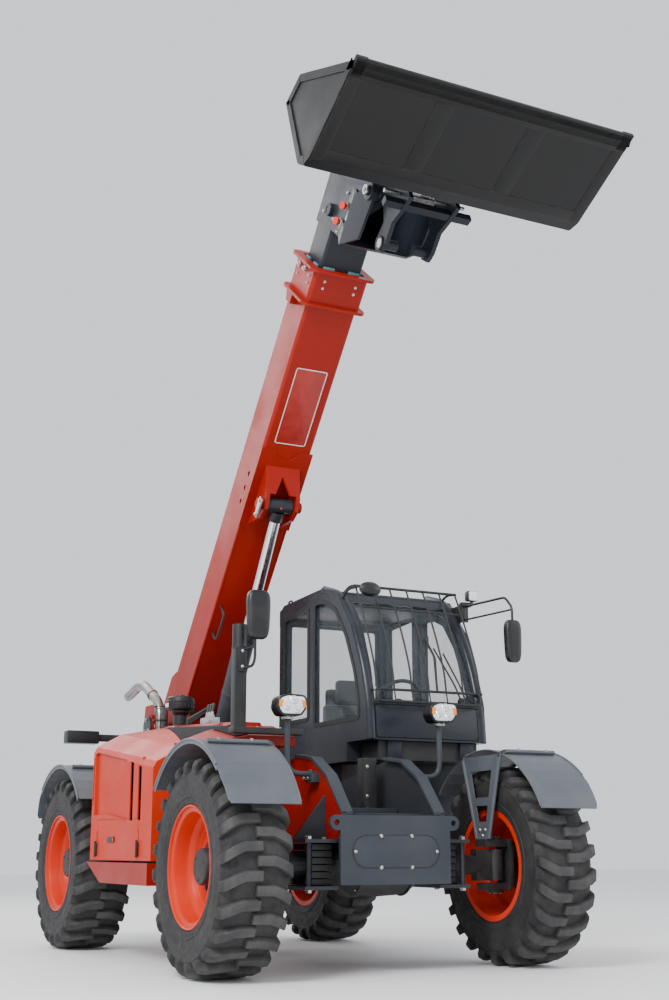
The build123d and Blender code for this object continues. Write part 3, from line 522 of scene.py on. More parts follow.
def rounded(outline, corner):
    """Closed outline of (x, y) points with its corners rounded."""
    return [(p.x, p.y) for p in softened([(x, y, 0.0) for x, y in outline], corner, True, 4)]


def drawn_in(outline, by):
    """Closed outline moved inwards all round."""
    flat = [Vector(p) for p in outline]
    turning = sum(a.x * b.y - b.x * a.y for a, b in zip(flat, flat[1:] + flat[:1]))
    way = by if turning > 0 else -by
    moved = []
    for before, here, after in zip(flat[-1:] + flat[:-1], flat, flat[1:] + flat[:1]):
        u, v = (here - before).normalized(), (after - here).normalized()
        left_u, left_v = Vector((-u.y, u.x)), Vector((-v.y, v.x))
        moved.append(here + (left_u + left_v) / (1 + left_u.dot(left_v)) * way)
    return [(p.x, p.y) for p in moved]


def add_ring(bm, outline, width, thick, place=None):
    """Flat strip that follows a closed outline of (x, y) points."""
    place = place or Matrix.Identity(4)
    inner = drawn_in(outline, width)
    loops = [[bm.verts.new(place @ Vector((x, y, z))) for x, y in loop]
             for loop, z in ((outline, 0.0), (outline, thick), (inner, thick), (inner, 0.0))]
    for a, b in zip(loops, loops[1:]):
        for i in range(len(a)):
            k = (i + 1) % len(a)
            bm.faces.new((a[i], a[k], b[k], b[i]))


def rectangle(x0, x1, y0, y1):
    return [(x0, y0), (x1, y0), (x1, y1), (x0, y1)]


class Kit:
    """Small shapes of one finish, gathered into one piece that rides on one body."""

    def __init__(self, name, body, finish, slot, place=IN_MACHINE):
        self.name, self.body, self.finish, self.slot, self.place = name, body, finish, slot, place
        self.bm = bmesh.new()

    def box(self, low, high, round_by=0.003, place=None):
        add_box(self.bm, low, high, round_by, place)

    def lathe(self, profile, steps=24, axis="Y", place=None):
        add_lathe(self.bm, profile, steps, axis, place)

    def disc(self, point, direction, radius, thick, steps=24, lip=0.0015):
        place = facing(point, direction)
        add_lathe(self.bm, [(0, 0), (radius, 0), (radius, thick - lip), (radius - lip, thick), (0, thick)],
                  steps, "Z", place)

    def plate(self, outline, thick, place, round_by=0.0015):
        add_plate(self.bm, outline, thick, round_by, place)

    def ring(self, outline, width, thick, place):
        add_ring(self.bm, outline, width, thick, place)

    def bolts(self, points, direction, size=0.010):
        for point in points:
            add_bolt(self.bm, point, direction, size)

    def rod(self, points, radius, corner=0.0, sides=12, closed=False):
        add_rod(self.bm, points, radius, corner, sides, closed)

    def done(self, hides=(), angle=35.0):
        mesh = to_mesh(self.bm, self.name)
        return finished(self.name, mesh, self.body, self.finish, self.place, hides, angle)


# ------------------------------------------------------------------ wheels
LUGS = 24
LUG_STATIONS = [  # (across top, radius top, across root, radius root, round the tread, half width)
    (0.014, 0.5865, 0.017, 0.550, 0.040, 0.030),
    (-0.086, 0.5875, -0.086, 0.550, 0.038, 0.031),
    (-0.148, 0.584, -0.143, 0.546, 0.012, 0.034),
    (-0.184, 0.572, -0.170, 0.534, -0.008, 0.035),
    (-0.201, 0.546, -0.184, 0.516, -0.020, 0.034),
    (-0.2035, 0.512, -0.190, 0.498, -0.028, 0.032),
]
CARCASS = [
    (0.334, -0.168), (0.338, -0.184), (0.350, -0.190), (0.368, -0.189), (0.372, -0.193), (0.380, -0.194),
    (0.384, -0.1905), (0.430, -0.196), (0.470, -0.197), (0.492, -0.194), (0.497, -0.196), (0.503, -0.191),
    (0.528, -0.176), (0.545, -0.150), (0.553, -0.110), (0.556, -0.040), (0.556, 0.0),
]


def tyre_mesh():
    """Tyre with slanting lugs, each side half a pitch behind the other."""
    bm = bmesh.new()
    profile = CARCASS + [(r, -y) for r, y in reversed(CARCASS[:-1])]
    add_lathe(bm, profile, 96)
    carcass_faces = len(bm.faces)
    for side in (1, -1):
        for i in range(LUGS):
            turn = 2 * math.pi * (i + (0 if side > 0 else 0.5)) / LUGS
            rings = []
            for y_top, r_top, y_root, r_root, round_by, half in LUG_STATIONS:
                ring = []
                for y, r, wide in ((y_top, r_top, 0.82), (y_root, r_root, 1.12)):
                    for way in (-1, 1):
                        a = turn + (round_by + way * half * wide) / TYRE_R
                        ring.append(bm.verts.new((r * math.cos(a), y * side, r * math.sin(a))))
                rings.append((ring[0], ring[1], ring[3], ring[2]))
            for a, b in zip(rings, rings[1:]):
                for k in range(4):
                    bm.faces.new((a[k], a[(k + 1) % 4], b[(k + 1) % 4], b[k]))
            bm.faces.new(rings[0])
            bm.faces.new(rings[-1])
    bm.faces.ensure_lookup_table()
    lug_faces = bm.faces[carcass_faces:]
    tops = {e for f in lug_faces for e in f.edges}
    sharp = [e for e in tops if all(Vector((v.co.x, 0, v.co.z)).length > 0.552 or abs(v.co.y) > 0.199
                                    for v in e.verts)]
    bmesh.ops.bevel(bm, geom=sharp, offset=0.0045, segments=2, profile=0.6, affect="EDGES")
    return to_mesh(bm, "tyre")


RIM = [
    (0.331, -0.176), (0.334, -0.180), (0.3325, -0.1845), (0.326, -0.186), (0.320, -0.181), (0.318, -0.170),
    (0.311, -0.166), (0.296, -0.162), (0.291, -0.150), (0.288, -0.100), (0.282, -0.080), (0.262, -0.066),
    (0.256, -0.050), (0.250, -0.036), (0.236, -0.030), (0.205, -0.036), (0.190, -0.044), (0.178, -0.046),
    (0.150, -0.046), (0.146, -0.040), (0.146, -0.020), (0.262, -0.018), (0.262, 0.030), (0.288, 0.066),
    (0.297, 0.150), (0.299, 0.178), (0.333, 0.180), (0.333, 0.168), (0.309, 0.164), (0.300, 0.060),
    (0.270, 0.030), (0.270, -0.040), (0.300, -0.060), (0.309, -0.164), (0.326, -0.169), (0.331, -0.176),
]


def rim_mesh():
    """Wheel rim with its disc and stud seats."""
    bm = bmesh.new()
    add_lathe(bm, RIM, 96)
    for k in range(8):
        a = math.radians(22.5 + 45 * k)
        spot = Vector((0.222 * math.cos(a), -0.033, 0.222 * math.sin(a)))
        add_lathe(bm, [(0, -0.002), (0.016, -0.002), (0.016, 0.0), (0, 0.0)], 16, "Y",
                  Matrix.Translation(spot))
    return to_mesh(bm, "rim")


def hub_mesh():
    """Hub cover with its ring of nuts."""
    bm = bmesh.new()
    add_lathe(bm, [(0.0, -0.120), (0.088, -0.120), (0.094, -0.117), (0.098, -0.110), (0.100, -0.062),
                   (0.106, -0.056),
                   (0.110, -0.048), (0.142, -0.048), (0.1455, -0.045), (0.1455, -0.02), (0.0, -0.02)], 64)
    for k in range(10):
        a = 2 * math.pi * k / 10
        add_bolt(bm, (0.127 * math.cos(a), -0.048, 0.127 * math.sin(a)), (0, -1, 0), 0.0125)
    for k in range(3):
        a = math.radians(30 + 120 * k)
        add_bolt(bm, (0.070 * math.cos(a), -0.120, 0.070 * math.sin(a)), (0, -1, 0), 0.006, False)
    return to_mesh(bm, "hub")


def valve_mesh():
    """Tyre valve."""
    bm = bmesh.new()
    place = facing((0.276, -0.088, 0.0), (-0.35, -1.0, 0.0))
    add_lathe(bm, [(0, 0), (0.010, 0), (0.010, 0.010), (0.0045, 0.012), (0.0045, 0.034), (0.006, 0.035),
                   (0.006, 0.046), (0, 0.047)], 14, "Z", place)
    return to_mesh(bm, "valve")


def make_wheels():
    """The four full-round wheels, from one set of meshes."""
    shapes = {"tyre": tyre_mesh(), "rim": rim_mesh(), "hub": hub_mesh(), "valve": valve_mesh()}
    finishes = {"tyre": ("tyre_rubber", "tyre_rubber"), "rim": ("rim_paint", "rim_paint"),
                "hub": ("dark_cast", "rim_paint"), "valve": ("bolts", "rim_paint")}
    for end, x in (("front", FRONT_X), ("rear", REAR_X)):
        for side, y, turn in (("right", -WHEEL_Y, 0.0), ("left", WHEEL_Y, math.pi)):
            spin = math.radians(8.0 if end == "front" else 3.0)
            place = Matrix.Translation((x, y, WHEEL_Z)) @ Matrix.Rotation(turn, 4,
                                                                          "Z") @ Matrix.Rotation(spin, 4, "Y")
            for kind, mesh in shapes.items():
                finish, slot = finishes[kind]
                hides = (f"{end}_{side}_{kind}",) if kind in ("tyre", "rim") else ()
                finished(f"{end}_{side}_{kind}_full", mesh, f"{end}_{side}_wheel", finish, place, hides)


# ------------------------------------------------------------------ cab
ALONG_X, ALONG_Y, ALONG_Z = (1, 0, 0), (0, 1, 0), (0, 0, 1)
CAB_FRONT = [(0.100, 2.450), (0.352, 2.378), (0.550, 2.128), (0.684, 1.842), (0.750, 1.618), (0.768, 1.370)]
RIGHT_WINDOWS = [
    [(-0.510, 1.560), (-0.510, 2.330), (-0.090, 2.360), (-0.090, 1.560)],
    [(0.000, 1.510), (0.000, 2.370), (0.140, 2.370), (0.330, 2.290), (0.500, 2.080), (0.620, 1.830),
     (0.676, 1.620), (0.676, 1.510)],
]
QUARTER_LIGHT = [(-0.510, 1.560), (-0.510, 2.330), (-0.120, 2.355), (-0.120, 1.560)]
DOOR_LIGHT = [(0.020, 1.500), (0.020, 2.310), (0.140, 2.310), (0.300, 2.240), (0.450, 2.050), (0.565, 1.800),
              (0.615, 1.620), (0.620, 1.500)]


def at_side(y, direction):
    """Placement for a plate drawn as (x, z) on an upright side of the machine."""
    turn = Matrix(((1, 0, 0), (0, 0, direction), (0, 1, 0))).to_4x4()
    return Matrix.Translation((0, y, 0)) @ turn


def make_cab_shell():
    pillars = Kit("cab_pillars", "chassis", "cab_paint", "grey_paint")
    for y in (CAB_Y0 + 0.036, CAB_Y1 - 0.036):
        pillars.rod([(x, y, z) for x, z in CAB_FRONT], 0.036, 0.16, 16)
        pillars.rod([(0.10, y, 2.450), (-0.52, y, 2.428), (-0.575, y, 2.39), (-0.575, y, 1.30)], 0.022, 0.05)
    for x, z in ((0.345, 2.386), (0.755, 1.612)):
        pillars.rod([(x, CAB_Y0 + 0.05, z), (x, CAB_Y1 - 0.05, z)], 0.020)
    pillars.done()
    panel = Kit("cab_front_panel", "chassis", "cab_paint", "grey_paint")
    front = facing((0.7775, CAB_MIDDLE, 1.488), (1, 0, 0.067))
    panel.plate(rounded(rectangle(-0.385, 0.385, -0.108, 0.104), 0.03), 0.010, front, 0.004)
    panel.ring(rounded(rectangle(-0.425, 0.425, -0.124, 0.120), 0.02), 0.012, 0.012, front)
    for y in (CAB_Y0 + 0.16, CAB_Y1 - 0.20):
        panel.box((0.752, y, 1.245), (0.775, y + 0.10, 1.366), 0.004)
    panel.done()
    seals = Kit("window_seals", "chassis", "seal", "black_plastic")
    for outline in RIGHT_WINDOWS:
        seals.ring(rounded(drawn_in(outline, -0.012), 0.045), 0.030, 0.007, at_side(CAB_Y0 + 0.003, -1))
    seals.ring(rounded(drawn_in(QUARTER_LIGHT, -0.012), 0.045), 0.030, 0.007, at_side(CAB_Y1 - 0.010, 1))
    back = facing((-0.592, CAB_MIDDLE, 1.91), (-1, 0, 0))
    seals.ring(rounded(rectangle(-0.390, 0.390, -0.425, 0.425), 0.06), 0.036, 0.006, back)
    seals.done()
    door_seal = Kit("door_seal", "door", "seal", "black_plastic")
    door_seal.ring(rounded(drawn_in(DOOR_LIGHT, -0.012), 0.045), 0.030, 0.006, at_side(CAB_Y1 - 0.006, 1))
    door_seal.done()
    door = Kit("door_fittings", "door", "moulding", "black_plastic")
    door.box((0.370, CAB_Y1, 1.300), (0.435, CAB_Y1 + 0.012, 1.360), 0.005)
    door.rod([(0.378, CAB_Y1 + 0.004, 1.315), (0.378, CAB_Y1 + 0.034, 1.320), (0.378, CAB_Y1 + 0.034, 1.270),
              (0.378, CAB_Y1 + 0.004, 1.262)], 0.008, 0.012)
    door.rod([(0.10, CAB_Y1 - 0.01, 1.20), (0.10, CAB_Y1 + 0.030, 1.20), (0.10, CAB_Y1 + 0.030, 1.46),
              (0.10, CAB_Y1 - 0.01, 1.46)], 0.010, 0.03)
    door.done()
    roof = Kit("roof_panel", "chassis", "cab_paint", "grey_paint")
    roof.box((-0.46, CAB_Y0 + 0.10, 2.432), (0.08, CAB_Y1 - 0.10, 2.462), 0.012)
    for k in range(4):
        y = CAB_Y0 + 0.20 + k * 0.17
        roof.box((-0.40, y, 2.455), (0.04, y + 0.07, 2.470), 0.006)
    for y in (CAB_Y0 + 0.012, CAB_Y1 - 0.012):
        roof.rod([(-0.46, y, 2.405), (-0.46, y, 2.462), (-0.40, y, 2.462), (-0.40, y, 2.408)], 0.007, 0.02)
    roof.rod([(0.075, CAB_Y0 + 0.03, 2.45), (0.095, CAB_Y0 + 0.03, 2.49), (0.115, CAB_Y0 + 0.03, 2.45)],
             0.008, 0.02)
    roof.done()
    lugs = Kit("roof_brackets", "chassis", "moulding", "black_plastic")
    lugs.bolts([(-0.641, CAB_Y0 + 0.07, z) for z in (2.33, 2.39)], (-1, 0, 0), 0.011)
    lugs.box((-0.60, CAB_Y0 - 0.004, 1.02), (-0.50, CAB_Y0 + 0.004, 1.10), 0.002)
    lugs.done()


def make_screen_guard():
    guard = Kit("guard_rods", "chassis", "seal", "black_plastic")
    y0, y1 = CAB_Y0 + 0.06, CAB_Y1 - 0.06
    for k in range(7):
        y = y0 + k * (y1 - y0) / 6
        guard.rod([(0.520, y, 2.420), (0.604, y, 2.262), (0.722, y, 2.010), (0.790, y, 1.830),
                   (0.812, y, 1.690)],
                  0.0066, 0.12)
        guard.rod([(0.812, y, 1.690), (0.832, y, 1.612)], 0.0050)
    for x, z, r in ((0.520, 2.420, 0.0095), (0.604, 2.262, 0.0065)):
        guard.rod([(x, y0 - 0.01, z), (x, y1 + 0.01, z)], r)
    guard.rod([(0.812, y0, 1.690), (0.812, y1, 1.690), (0.832, y1, 1.612), (0.832, y0, 1.612)], 0.0088, 0.035,
              12, True)
    for y in (y0 + 0.004, y1 - 0.004):
        guard.rod([(0.345, y, 2.402), (0.430, y, 2.432), (0.520, y, 2.420)], 0.009, 0.04)
        guard.rod([(0.735, y, 1.690), (0.812, y, 1.690)], 0.010)
    guard.done(("screen_guard",))
    ends = Kit("guard_ends", "chassis", "bolts", "black_plastic")
    for y, way in ((y0 - 0.014, -1), (y1 + 0.014, 1)):
        ends.disc((0.812, y - 0.004 * way, 1.690), (0, way, 0), 0.013, 0.010, 16)
    ends.done()
    wipers = Kit("wipers", "chassis", "moulding", "black_plastic")
    for base_y, tip_y, tip in ((0.965, 0.840, (0.622, 2.010)), (1.005, 0.905, (0.640, 1.975))):
        wipers.rod([(0.772, base_y, 1.640), (0.745, base_y - 0.02, 1.735), (tip[0] + 0.012, tip_y, tip[1])],
                   0.006, 0.05)
    wipers.rod([(0.588, 0.795, 2.085), (0.650, 0.835, 1.955), (0.742, 0.800, 1.700)], 0.008, 0.03, 8)
    wipers.rod([(0.600, 0.802, 2.075), (0.646, 0.848, 1.945), (0.735, 0.806, 1.715)], 0.004, 0.03, 8)
    wipers.disc((0.760, 0.965, 1.640), (1, 0, 0.25), 0.020, 0.022, 20)
    wipers.disc((0.760, 1.005, 1.640), (1, 0, 0.25), 0.016, 0.018, 20)
    wipers.done()


def mirror_shell(name, centre, size, body="chassis", looks=-1.0):
    """Rounded mirror housing, narrower below, with its glass on the driver's side."""
    bm = bmesh.new()
    bmesh.ops.create_uvsphere(bm, u_segments=40, v_segments=24, radius=1.0)
    for vert in bm.verts:
        square = sum(abs(c) ** 4.5 for c in vert.co) ** (1 / 4.5)
        x, y, z = vert.co / square
        narrow = 1.0 - 0.07 * (1.0 - z)
        flat = 0.86 if x * looks > 0 else 1.0
        vert.co = Vector((x * size[0] / 2 * flat, y * size[1] / 2 * narrow, z * size[2] / 2))
    bmesh.ops.translate(bm, vec=Vector(centre), verts=bm.verts)
    finished(name, to_mesh(bm, name), body, "moulding", IN_MACHINE, (), 60.0)
    glass = Kit(name + "_glass", body, "mirror", "black_plastic")
    spot = Vector(centre) + Vector((looks * (size[0] * 0.43 - 0.001), 0, 0))
    half_w, half_h = size[1] * 0.36, size[2] * 0.42
    glass.plate(rounded(rectangle(-half_w, half_w, -half_h, half_h), 0.025), 0.002,
                facing(spot, (looks, 0, 0)))
    glass.done()


def make_mirrors():
    arms = Kit("left_mirror_arms", "chassis", "moulding", "black_plastic")
    arms.rod([(0.560, 1.130, 2.330), (1.010, 1.185, 2.330), (1.090, 1.185, 2.250), (1.090, 1.185, 2.120)],
             0.0085, 0.03)
    arms.rod([(0.560, 1.130, 2.235), (1.075, 1.185, 2.235), (1.090, 1.185, 2.230)], 0.0070, 0.01)
    arms.box((0.385, CAB_Y1 - 0.030, 2.225), (0.575, CAB_Y1 - 0.002, 2.345), 0.006)
    arms.box((0.548, CAB_Y1 - 0.05, 2.222), (0.572, CAB_Y1 + 0.020, 2.348), 0.005)
    arms.box((0.545, CAB_Y1 - 0.04, 2.330), (0.585, 1.190, 2.362), 0.005)
    arms.rod([(0.585, 1.185, 2.345), (0.590, 1.190, 2.375)], 0.012)
    arms.done(("left_mirror",))
    mirror_shell("left_mirror_shell", (1.088, 1.183, 2.020), (0.066, 0.125, 0.285))
    lamp = Kit("roof_work_lamp", "chassis", "moulding", "black_plastic")
    lamp.box((0.560, 1.152, 2.370), (0.606, 1.228, 2.444), 0.008)
    for k in range(5):
        lamp.box((0.545, 1.160 + k * 0.014, 2.378), (0.562, 1.165 + k * 0.014, 2.436), 0.001)
    lamp.done()
    glass = Kit("roof_work_lens", "chassis", "lens", "black_plastic")
    glass.plate(rounded(rectangle(-0.033, 0.033, -0.032, 0.032), 0.008), 0.005,
                facing((0.605, 1.190, 2.407), ALONG_X))
    glass.done()
    post = Kit("right_post", "chassis", "moulding", "black_plastic")
    post.box((0.962, -0.782, 1.360), (1.030, -0.705, 1.880), 0.008)
    post.rod([(0.996, -0.744, 1.860), (0.996, -0.744, 2.005)], 0.044, 0.0, 24)
    post.box((0.955, -0.790, 1.352), (1.040, -0.330, 1.388), 0.006)
    post.rod([(1.030, -0.735, 1.735), (1.105, -0.700, 1.745), (1.112, -0.690, 1.790), (1.112, -0.690, 1.905)],
             0.0085, 0.03)
    post.rod([(1.030, -0.735, 1.850), (1.105, -0.692, 1.862)], 0.0075)
    post.box((1.024, -0.765, 1.715), (1.040, -0.715, 1.870), 0.004)
    post.done(("right_mirror",))
    mirror_shell("right_mirror_shell", (1.110, -0.672, 2.055), (0.072, 0.155, 0.300))
    fixings = Kit("post_fixings", "chassis", "bolts", "black_plastic")
    fixings.bolts([(1.040, -0.740, z) for z in (1.745, 1.840)], ALONG_X, 0.008)
    fixings.bolts([(0.998, y, 1.388) for y in (-0.62, -0.47)], ALONG_Z, 0.009)
    fixings.done()
    oval = Kit("roof_oval_mirror", "chassis", "moulding", "black_plastic")
    oval.rod([(0.395, CAB_Y0 + 0.02, 2.330), (0.470, CAB_Y0 + 0.02, 2.400), (0.600, 0.315, 2.408),
              (0.690, 0.320, 2.378)],
             0.008, 0.05)
    bowl = Matrix.Translation((0.700, 0.322, 2.368)) @ Matrix.Diagonal((-1.0, 1.0, 0.62, 1.0))
    oval.lathe([(0, -0.022), (0.055, -0.014), (0.080, 0.004), (0.082, 0.012), (0.074, 0.012)], 32, "X", bowl)
    oval.done()
    oval_glass = Kit("roof_oval_glass", "chassis", "mirror", "black_plastic")
    oval_glass.lathe([(0.0, 0.018), (0.040, 0.015), (0.074, 0.006)], 32, "X", bowl)
    oval_glass.done()


def make_interior():
    seat = Kit("seat_frame", "chassis", "moulding", "black_plastic")
    for k in range(6):
        seat.box((-0.280 - 0.006 * (k % 2), 0.530 - 0.006 * (k % 2), 0.90 + k * 0.035),
                 (0.050 + 0.006 * (k % 2), 0.870 + 0.006 * (k % 2), 0.925 + k * 0.035), 0.012)
    seat.box((-0.320, 0.500, 1.105), (0.090, 0.900, 1.160), 0.02)
    seat.box((-0.400, 0.520, 1.180), (-0.360, 0.880, 1.820), 0.03)
    for y in (0.448, 0.892):
        seat.box((-0.300, y, 1.440), (0.020, y + 0.058, 1.485), 0.018)
        seat.box((-0.330, y + 0.012, 1.200), (-0.285, y + 0.046, 1.460), 0.01)
    seat.done()
    for name, low, high, fill in (
            ("seat_cushion", (-0.320, 0.470, 1.160), (0.115, 0.930, 1.282), 0.7),
            ("seat_back", (-0.372, 0.480, 1.260), (-0.275, 0.920, 1.700), 0.7),
            ("head_rest", (-0.375, 0.585, 1.715), (-0.290, 0.815, 1.885), 0.75)):
        bm = bmesh.new()
        bmesh.ops.create_cube(bm, size=1.0)
        low, high = Vector(low), Vector(high)
        for vert in bm.verts:
            vert.co = (low + high) / 2 + Vector([c * (b - a) for c, a, b in zip(vert.co, low, high)])
        bmesh.ops.bevel(bm, geom=bm.edges[:], offset=min(high - low) * 0.36, segments=4, profile=0.6,
                        affect="EDGES")
        bmesh.ops.subdivide_edges(bm, edges=[e for e in bm.edges if e.calc_length() > 0.12], cuts=6,
                                  use_grid_fill=True)
        middle = (low + high) / 2
        span = [(b - a) / 2 for a, b in zip(low, high)]
        for vert in bm.verts:
            u, v, w = [(c - m) / h for c, m, h in zip(vert.co, middle, span)]
            thin = min(range(3), key=lambda k: span[k])
            across = [u, v, w]
            across.pop(thin)
            dome = (1 - across[0] ** 2) * (1 - across[1] ** 2)
            channel = 0.35 * math.exp(-((abs(v) - 0.55) / 0.07) ** 2)
            lift = [0.0, 0.0, 0.0]
            way = 1 if (u, v, w)[thin] > 0 else -1
            lift[thin] = way * span[thin] * (0.22 * dome - channel * 0.25 * (dome > 0.02))
            vert.co += Vector(lift)
        cushion = finished(name, to_mesh(bm, name), "chassis", "seat_cloth", IN_MACHINE,
                           ("seat",) if name == "seat_cushion" else (), 60.0)
    column = Kit("steering_column", "chassis", "moulding", "black_plastic")
    tilt = Matrix.Translation((0.380, 0.700, 1.640)) @ Matrix.Rotation(math.radians(-62), 4, "Y")
    column.rod([(0.470, 0.700, 1.200), (0.452, 0.700, 1.411), (0.385, 0.700, 1.628)], 0.032, 0.05, 16)
    column.lathe([(0, -0.012), (0.044, -0.012), (0.048, 0.0), (0.044, 0.014), (0, 0.018)], 24, "Z", tilt)
    ring = [tilt @ Vector((0.180 * math.cos(a), 0.180 * math.sin(a), 0.0))
            for a in (2 * math.pi * k / 48 for k in range(48))]
    column.rod(ring, 0.0135, 0.0, 12, True)
    for a in (math.pi / 2, -math.pi / 2, math.pi):
        reach = Vector((math.cos(a), math.sin(a), 0.0))
        column.rod([tilt @ (reach * 0.035), tilt @ (reach * 0.174)], 0.009, 0.0, 8)
    column.box((0.440, 0.560, 1.400), (0.560, 0.840, 1.560), 0.03)
    column.done(("steering_console",))
    trim = Kit("cab_trim", "chassis", "moulding", "black_plastic")
    trim.box((-0.330, 0.340, 1.060), (0.240, 0.440, 1.470), 0.02)
    trim.box((-0.300, 0.330, 1.465), (0.060, 0.452, 1.500), 0.015)
    trim.rod([(0.120, 0.390, 1.470), (0.130, 0.392, 1.570)], 0.012, 0.0, 12)
    trim.lathe([(0, -0.02), (0.020, -0.014), (0.024, 0.01), (0.019, 0.042), (0, 0.052)], 20, "Z",
               Matrix.Translation((0.132, 0.392, 1.580)))
    trim.box((-0.540, 0.300, 1.290), (-0.470, 1.090, 1.490), 0.02)
    trim.box((0.560, 0.300, 1.420), (0.640, 1.080, 1.500), 0.02)
    trim.box((-0.500, 0.300, 2.345), (0.150, 1.090, 2.395), 0.02)
    trim.done()
    floor = Kit("cab_floor_mat", "chassis", "seal", "black_plastic")
    floor.box((-0.530, 0.400, 0.848), (0.450, 1.090, 0.856), 0.002)
    for y in (0.60, 0.78, 0.92):
        floor.box((0.398, y, 0.92), (0.412, y + 0.07, 1.03), 0.006)
    floor.done()


# ------------------------------------------------------------------ hood and right side
def hood_top(x, y):
    """Height of the hood's top skin."""
    t, u = (x + 0.648) / 1.248, (y + 0.940) / 0.300
    outer, inner = 1.457 - 0.1638 * t, 1.512 - 0.072 * t
    return outer + (inner - outer) * u


def make_hood():
    grille = Kit("hood_grille", "hood", "seal", "red_paint")
    corners = [(-0.480, -0.668), (0.575, -0.668), (0.575, -0.930)]
    grille.bm.faces.new([grille.bm.verts.new((x, y, hood_top(x, y) + 0.0015)) for x, y in corners])
    for k in range(26):
        x = -0.455 + k * 0.0395
        reach = -0.668 - 0.262 * (x + 0.480) / 1.055
        grille.rod([(x, -0.672, hood_top(x, -0.672) + 0.004), (x, reach, hood_top(x, reach) + 0.004)], 0.0045,
                   0.0, 6)
    grille.rod([(x, y, hood_top(x, y) + 0.003) for x, y in corners], 0.006, 0.02, 8, True)
    grille.done()
    black = Kit("hood_fittings", "hood", "moulding", "red_paint")
    black.box((-0.262, HOOD_Y - 0.006, 0.722), (-0.115, HOOD_Y + 0.002, 0.760), 0.004)
    black.box((-0.246, HOOD_Y - 0.011, 0.730), (-0.150, HOOD_Y - 0.004, 0.750), 0.003)
    for x in (-0.500, 0.362):
        black.box((x - 0.012, HOOD_Y - 0.016, 0.640), (x + 0.012, HOOD_Y + 0.004, 0.720), 0.004)
        black.rod([(x, HOOD_Y - 0.012, 0.632), (x, HOOD_Y - 0.012, 0.735)], 0.007)
    for x0, x1 in ((0.176, 0.224), (0.334, 0.382)):
        for k in range(22):
            z = 0.870 + k * 0.0155
            black.box((x0, HOOD_Y + 0.036, z), (x1, HOOD_Y + 0.041, z + 0.006), 0.0)
    black.box((-0.635, HOOD_Y + 0.012, 0.960), (-0.612, HOOD_Y + 0.018, 1.290), 0.0)
    black.done()
    latch = Kit("hood_latch", "hood", "red_cap", "red_paint")
    latch.box((-0.142, HOOD_Y - 0.010, 0.732), (-0.122, HOOD_Y - 0.005, 0.749), 0.002)
    latch.done()
    nose = Kit("nose_grille", "chassis", "seal", "red_paint")
    for k in range(12):
        x = 0.655 + k * 0.0245
        t = (x - 0.625) / 0.335
        outer, inner = (-0.800 + 0.040 * t, 1.392 - 0.070 * t), (-0.640, 1.438 - 0.092 * t)
        nose.rod([(x, outer[0] + 0.03, outer[1] + 0.012), (x, inner[0] - 0.01, inner[1] + 0.001)], 0.0050,
                 0.0, 6)
    nose.done()
    stack = Kit("exhaust_pipe", "chassis", "exhaust_steel", "exhaust_steel")
    stack.rod([(-0.700, -0.520, 1.420), (-1.000, -0.530, 1.420), (-1.000, -0.540, 1.720),
               (-1.400, -0.550, 1.920), (-1.700, -0.560, 1.842)], 0.037, 0.11, 24)
    for x, y, z, way in ((-1.000, -0.5345, 1.55, (0, -0.03, 1)), (-1.16, -0.544, 1.80, (-0.89, 0, 0.445))):
        stack.disc((x, y, z), way, 0.043, 0.022, 24)
    stack.done(("exhaust",))
    guard = Kit("exhaust_shield", "chassis", "moulding", "black_plastic")
    for k in range(7):
        a = math.radians(-60 + 40 * k)
        x0, y0 = -1.000 + 0.052 * math.cos(a), -0.535 + 0.052 * math.sin(a)
        guard.rod([(x0, y0, 1.50), (x0, y0, 1.70)], 0.004, 0.0, 6)
    for z in (1.50, 1.60, 1.70):
        ring = [(-1.0 + 0.052 * math.cos(a), -0.535 + 0.052 * math.sin(a), z)
                for a in (2 * math.pi * k / 20 for k in range(20))]
        guard.rod(ring, 0.005, 0.0, 6, True)
    guard.done()
    cleaner = Kit("pre_cleaner_bowl", "chassis", "moulding", "black_plastic")
    here = Matrix.Translation((-0.590, -0.530, 0.0))
    cleaner.lathe([(0.046, 1.505), (0.050, 1.560), (0.050, 1.600), (0.066, 1.620), (0.066, 1.632),
                   (0.094, 1.640),
                   (0.099, 1.648), (0.099, 1.690), (0.102, 1.692), (0.102, 1.700), (0.098, 1.703),
                   (0.096, 1.722), (0.086, 1.731), (0.030, 1.736), (0.028, 1.744), (0, 1.746)], 40, "Z", here)
    for k in range(24):
        a = 2 * math.pi * k / 24
        cleaner.box((0.088, -0.0025, 1.650), (0.1015, 0.0025, 1.688), 0.0, here @ Matrix.Rotation(a, 4, "Z"))
    cleaner.done(("pre_cleaner",))
    label = Kit("cleaner_plate", "chassis", "pale", "black_plastic")
    label.box((-0.620, -0.6345, 1.655), (-0.560, -0.630, 1.684), 0.001)
    label.done()
    block = Kit("hose_block", "chassis", "bolts", "dark_cast")
    block.box((-0.120, -0.560, 1.492), (0.020, -0.470, 1.540), 0.006)
    for k in range(3):
        x = -0.100 + k * 0.045
        block.disc((x, -0.515, 1.538), ALONG_Z, 0.016, 0.020, 6)
        block.disc((x, -0.515, 1.556), ALONG_Z, 0.011, 0.022, 16)
    block.done()
    lines = Kit("bay_hoses", "chassis", "hose", "black_plastic")
    for k in range(3):
        x = -0.100 + k * 0.045
        lines.rod([(x, -0.515, 1.575), (x - 0.01, -0.500, 1.630), (x - 0.30, -0.400, 1.640),
                   (-1.25, -0.300 + k * 0.03, 1.600), (-1.45, -0.270, 1.480)], 0.0095, 0.08)
    lines.done()


